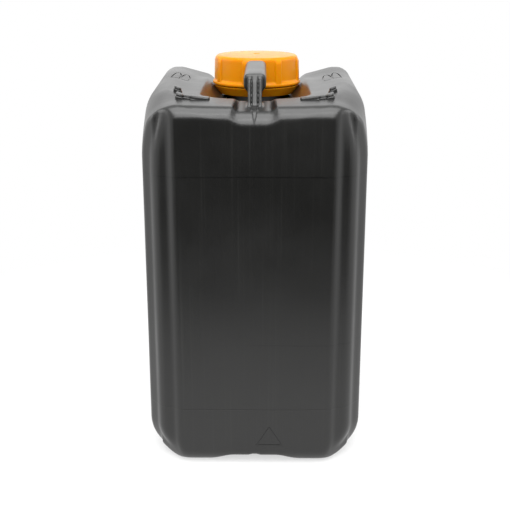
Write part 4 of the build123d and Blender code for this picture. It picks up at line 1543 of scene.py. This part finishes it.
class JERRYCAN_OT_stage(bpy.types.Operator):
    """Build the pale floor, the soft lights and the camera"""

    bl_idname = "jerrycan.stage"
    bl_label = "Studio Stage"

    def execute(self, context):
        stage = context.scene.jerrycan_stage
        self.floor(stage)
        self.flag(stage)
        self.world(context.scene, stage)
        self.lights(stage)
        self.camera(context.scene, stage)
        context.scene.view_settings.view_transform = "Standard"
        return {"FINISHED"}

    def seen_share(self, tree):
        """One for rays from the viewer, a reflection or a glass, and nothing for lighting."""
        path = add_node(tree, "ShaderNodeLightPath").outputs
        share = path["Is Camera Ray"]
        for ray in ("Is Glossy Ray", "Is Transmission Ray"):
            share = add_node(tree, "ShaderNodeMath", {0: share, 1: path[ray]}, operation="MAXIMUM").outputs[0]
        return share

    def floor(self, stage):
        """Pale paper that keeps the can's shadow and fades to the white background."""
        half = stage.floor_size / 2
        floor = plain_mesh(
            "studio_floor",
            [(-half, -half, 0), (half, -half, 0), (half, half, 0), (-half, half, 0)],
            [(0, 1, 2, 3)],
        )
        material, tree, place = new_material("Pale studio paper")
        paper = add_node(tree, "ShaderNodeBsdfDiffuse", {"Color": (*stage.floor_colour, 1.0)})
        white = add_node(tree, "ShaderNodeEmission", {"Color": (1, 1, 1, 1), "Strength": 1.0})
        away = add_node(tree, "ShaderNodeVectorMath", {0: place}, operation="LENGTH")
        fade = add_node(
            tree,
            "ShaderNodeMapRange",
            {
                "Value": away.outputs["Value"],
                "From Min": stage.shadow_core,
                "From Max": stage.shadow_reach,
                "To Min": stage.floor_glow,
                "To Max": 1.0,
            },
        )
        share = add_node(
            tree, "ShaderNodeMath", {0: fade.outputs[0], 1: self.seen_share(tree)}, operation="MULTIPLY"
        )
        both = add_node(
            tree,
            "ShaderNodeMixShader",
            {0: share.outputs[0], 1: paper.outputs[0], 2: white.outputs[0]},
        )
        add_node(tree, "ShaderNodeOutputMaterial", {"Surface": both.outputs[0]})
        floor.data.materials.append(material)

    def flag(self, stage):
        """A black cloth over the table's front and behind the camera, seen in reflections only."""
        half = stage.flag_width / 2
        near, far, high = -stage.flag_near, -stage.flag_far, stage.flag_height
        low = 1 * MM
        flag = plain_mesh(
            "black_flag",
            [
                (-half, near, low),
                (half, near, low),
                (half, far, low),
                (-half, far, low),
                (half, far, high),
                (-half, far, high),
            ],
            [(3, 2, 1, 0), (3, 5, 4, 2)],
        )
        material, tree, _ = new_material("Black studio cloth")
        cloth = add_node(tree, "ShaderNodeBsdfDiffuse", {"Color": (*stage.flag_colour, 1.0)})
        add_node(tree, "ShaderNodeOutputMaterial", {"Surface": cloth.outputs[0]})
        flag.data.materials.append(material)
        flag.visible_camera = False
        flag.visible_diffuse = False
        flag.visible_shadow = False

    def world(self, scene, stage):
        """Even light all around, which the viewer and reflections see as white."""
        world = bpy.data.worlds.new("Even white room")
        world.use_nodes = True
        tree = world.node_tree
        tree.nodes.clear()
        light = add_node(
            tree, "ShaderNodeBackground", {"Color": (1, 1, 1, 1), "Strength": stage.world_strength}
        )
        white = add_node(tree, "ShaderNodeBackground", {"Color": (1, 1, 1, 1), "Strength": 1.0})
        both = add_node(
            tree,
            "ShaderNodeMixShader",
            {0: self.seen_share(tree), 1: light.outputs[0], 2: white.outputs[0]},
        )
        add_node(tree, "ShaderNodeOutputWorld", {"Surface": both.outputs[0]})
        scene.world = world

    def lights(self, stage):
        """Softboxes above, behind, in front and on both sides: name, place, size and power."""
        target = Vector((0, 0, stage.light_target))
        places = [
            ("overhead_softbox", (0.0, -0.3, 1.3), 1.2, stage.key_power),
            ("rear_softbox", (0.0, 1.7, 0.8), 1.2, stage.rear_power),
            ("front_softbox", (0.0, -1.25, 1.1), 1.0, stage.front_power),
            ("left_softbox", (-1.2, 0.1, 0.6), 0.8, stage.fill_power),
            ("right_softbox", (1.2, 0.1, 0.6), 0.8, stage.fill_power),
        ]
        for name, place, size, power in places:
            lamp = bpy.data.lights.new(name, "AREA")
            lamp.size = size
            lamp.energy = power
            thing = bpy.data.objects.new(name, lamp)
            thing.location = place
            aim = target - Vector(place)
            thing.rotation_euler = aim.to_track_quat("-Z", "Y").to_euler()
            bpy.context.scene.collection.objects.link(thing)

    def camera(self, scene, stage):
        """The viewpoint: in front of the can and above it, looking slightly down."""
        data = bpy.data.cameras.new("viewpoint")
        data.lens = stage.lens
        data.sensor_width = 36.0
        camera = bpy.data.objects.new("viewpoint", data)
        camera.location = (stage.camera_side, -stage.camera_distance, stage.camera_height)
        camera.rotation_euler = (math.pi / 2 - stage.camera_pitch, 0, stage.camera_turn)
        scene.collection.objects.link(camera)
        scene.camera = camera


class JERRYCAN_PT_panel(bpy.types.Panel):
    """Lists the jerrycan's pieces in the sidebar"""

    bl_idname = "JERRYCAN_PT_panel"
    bl_label = "Jerrycan"
    bl_space_type = "VIEW_3D"
    bl_region_type = "UI"
    bl_category = "Jerrycan"

    def draw(self, context):
        for operator in OPERATORS:
            self.layout.operator(operator.bl_idname)


GROUPS = {
    "jerrycan_shell": JERRYCAN_PG_shell,
    "jerrycan_handle": JERRYCAN_PG_handle,
    "jerrycan_closure": JERRYCAN_PG_closure,
    "jerrycan_stage": JERRYCAN_PG_stage,
}
OPERATORS = [
    JERRYCAN_OT_container,
    JERRYCAN_OT_cap,
    JERRYCAN_OT_tamper_ring,
    JERRYCAN_OT_seal_disc,
    JERRYCAN_OT_stage,
]


def register():
    """Registers the settings, operators and panel."""
    for group in GROUPS.values():
        bpy.utils.register_class(group)
    for name, group in GROUPS.items():
        setattr(bpy.types.Scene, name, bpy.props.PointerProperty(type=group))
    for operator in OPERATORS:
        bpy.utils.register_class(operator)
    bpy.utils.register_class(JERRYCAN_PT_panel)


def unregister():
    """Removes what register added."""
    bpy.utils.unregister_class(JERRYCAN_PT_panel)
    for operator in reversed(OPERATORS):
        bpy.utils.unregister_class(operator)
    for name in GROUPS:
        delattr(bpy.types.Scene, name)
    for group in reversed(list(GROUPS.values())):
        bpy.utils.unregister_class(group)


def main():
    """Registers the add-on, then builds every piece and the stage."""
    register()
    bpy.ops.jerrycan.container()
    bpy.ops.jerrycan.cap()
    bpy.ops.jerrycan.tamper_ring()
    bpy.ops.jerrycan.seal_disc()
    bpy.ops.jerrycan.stage()


if __name__ == "__main__":
    main()
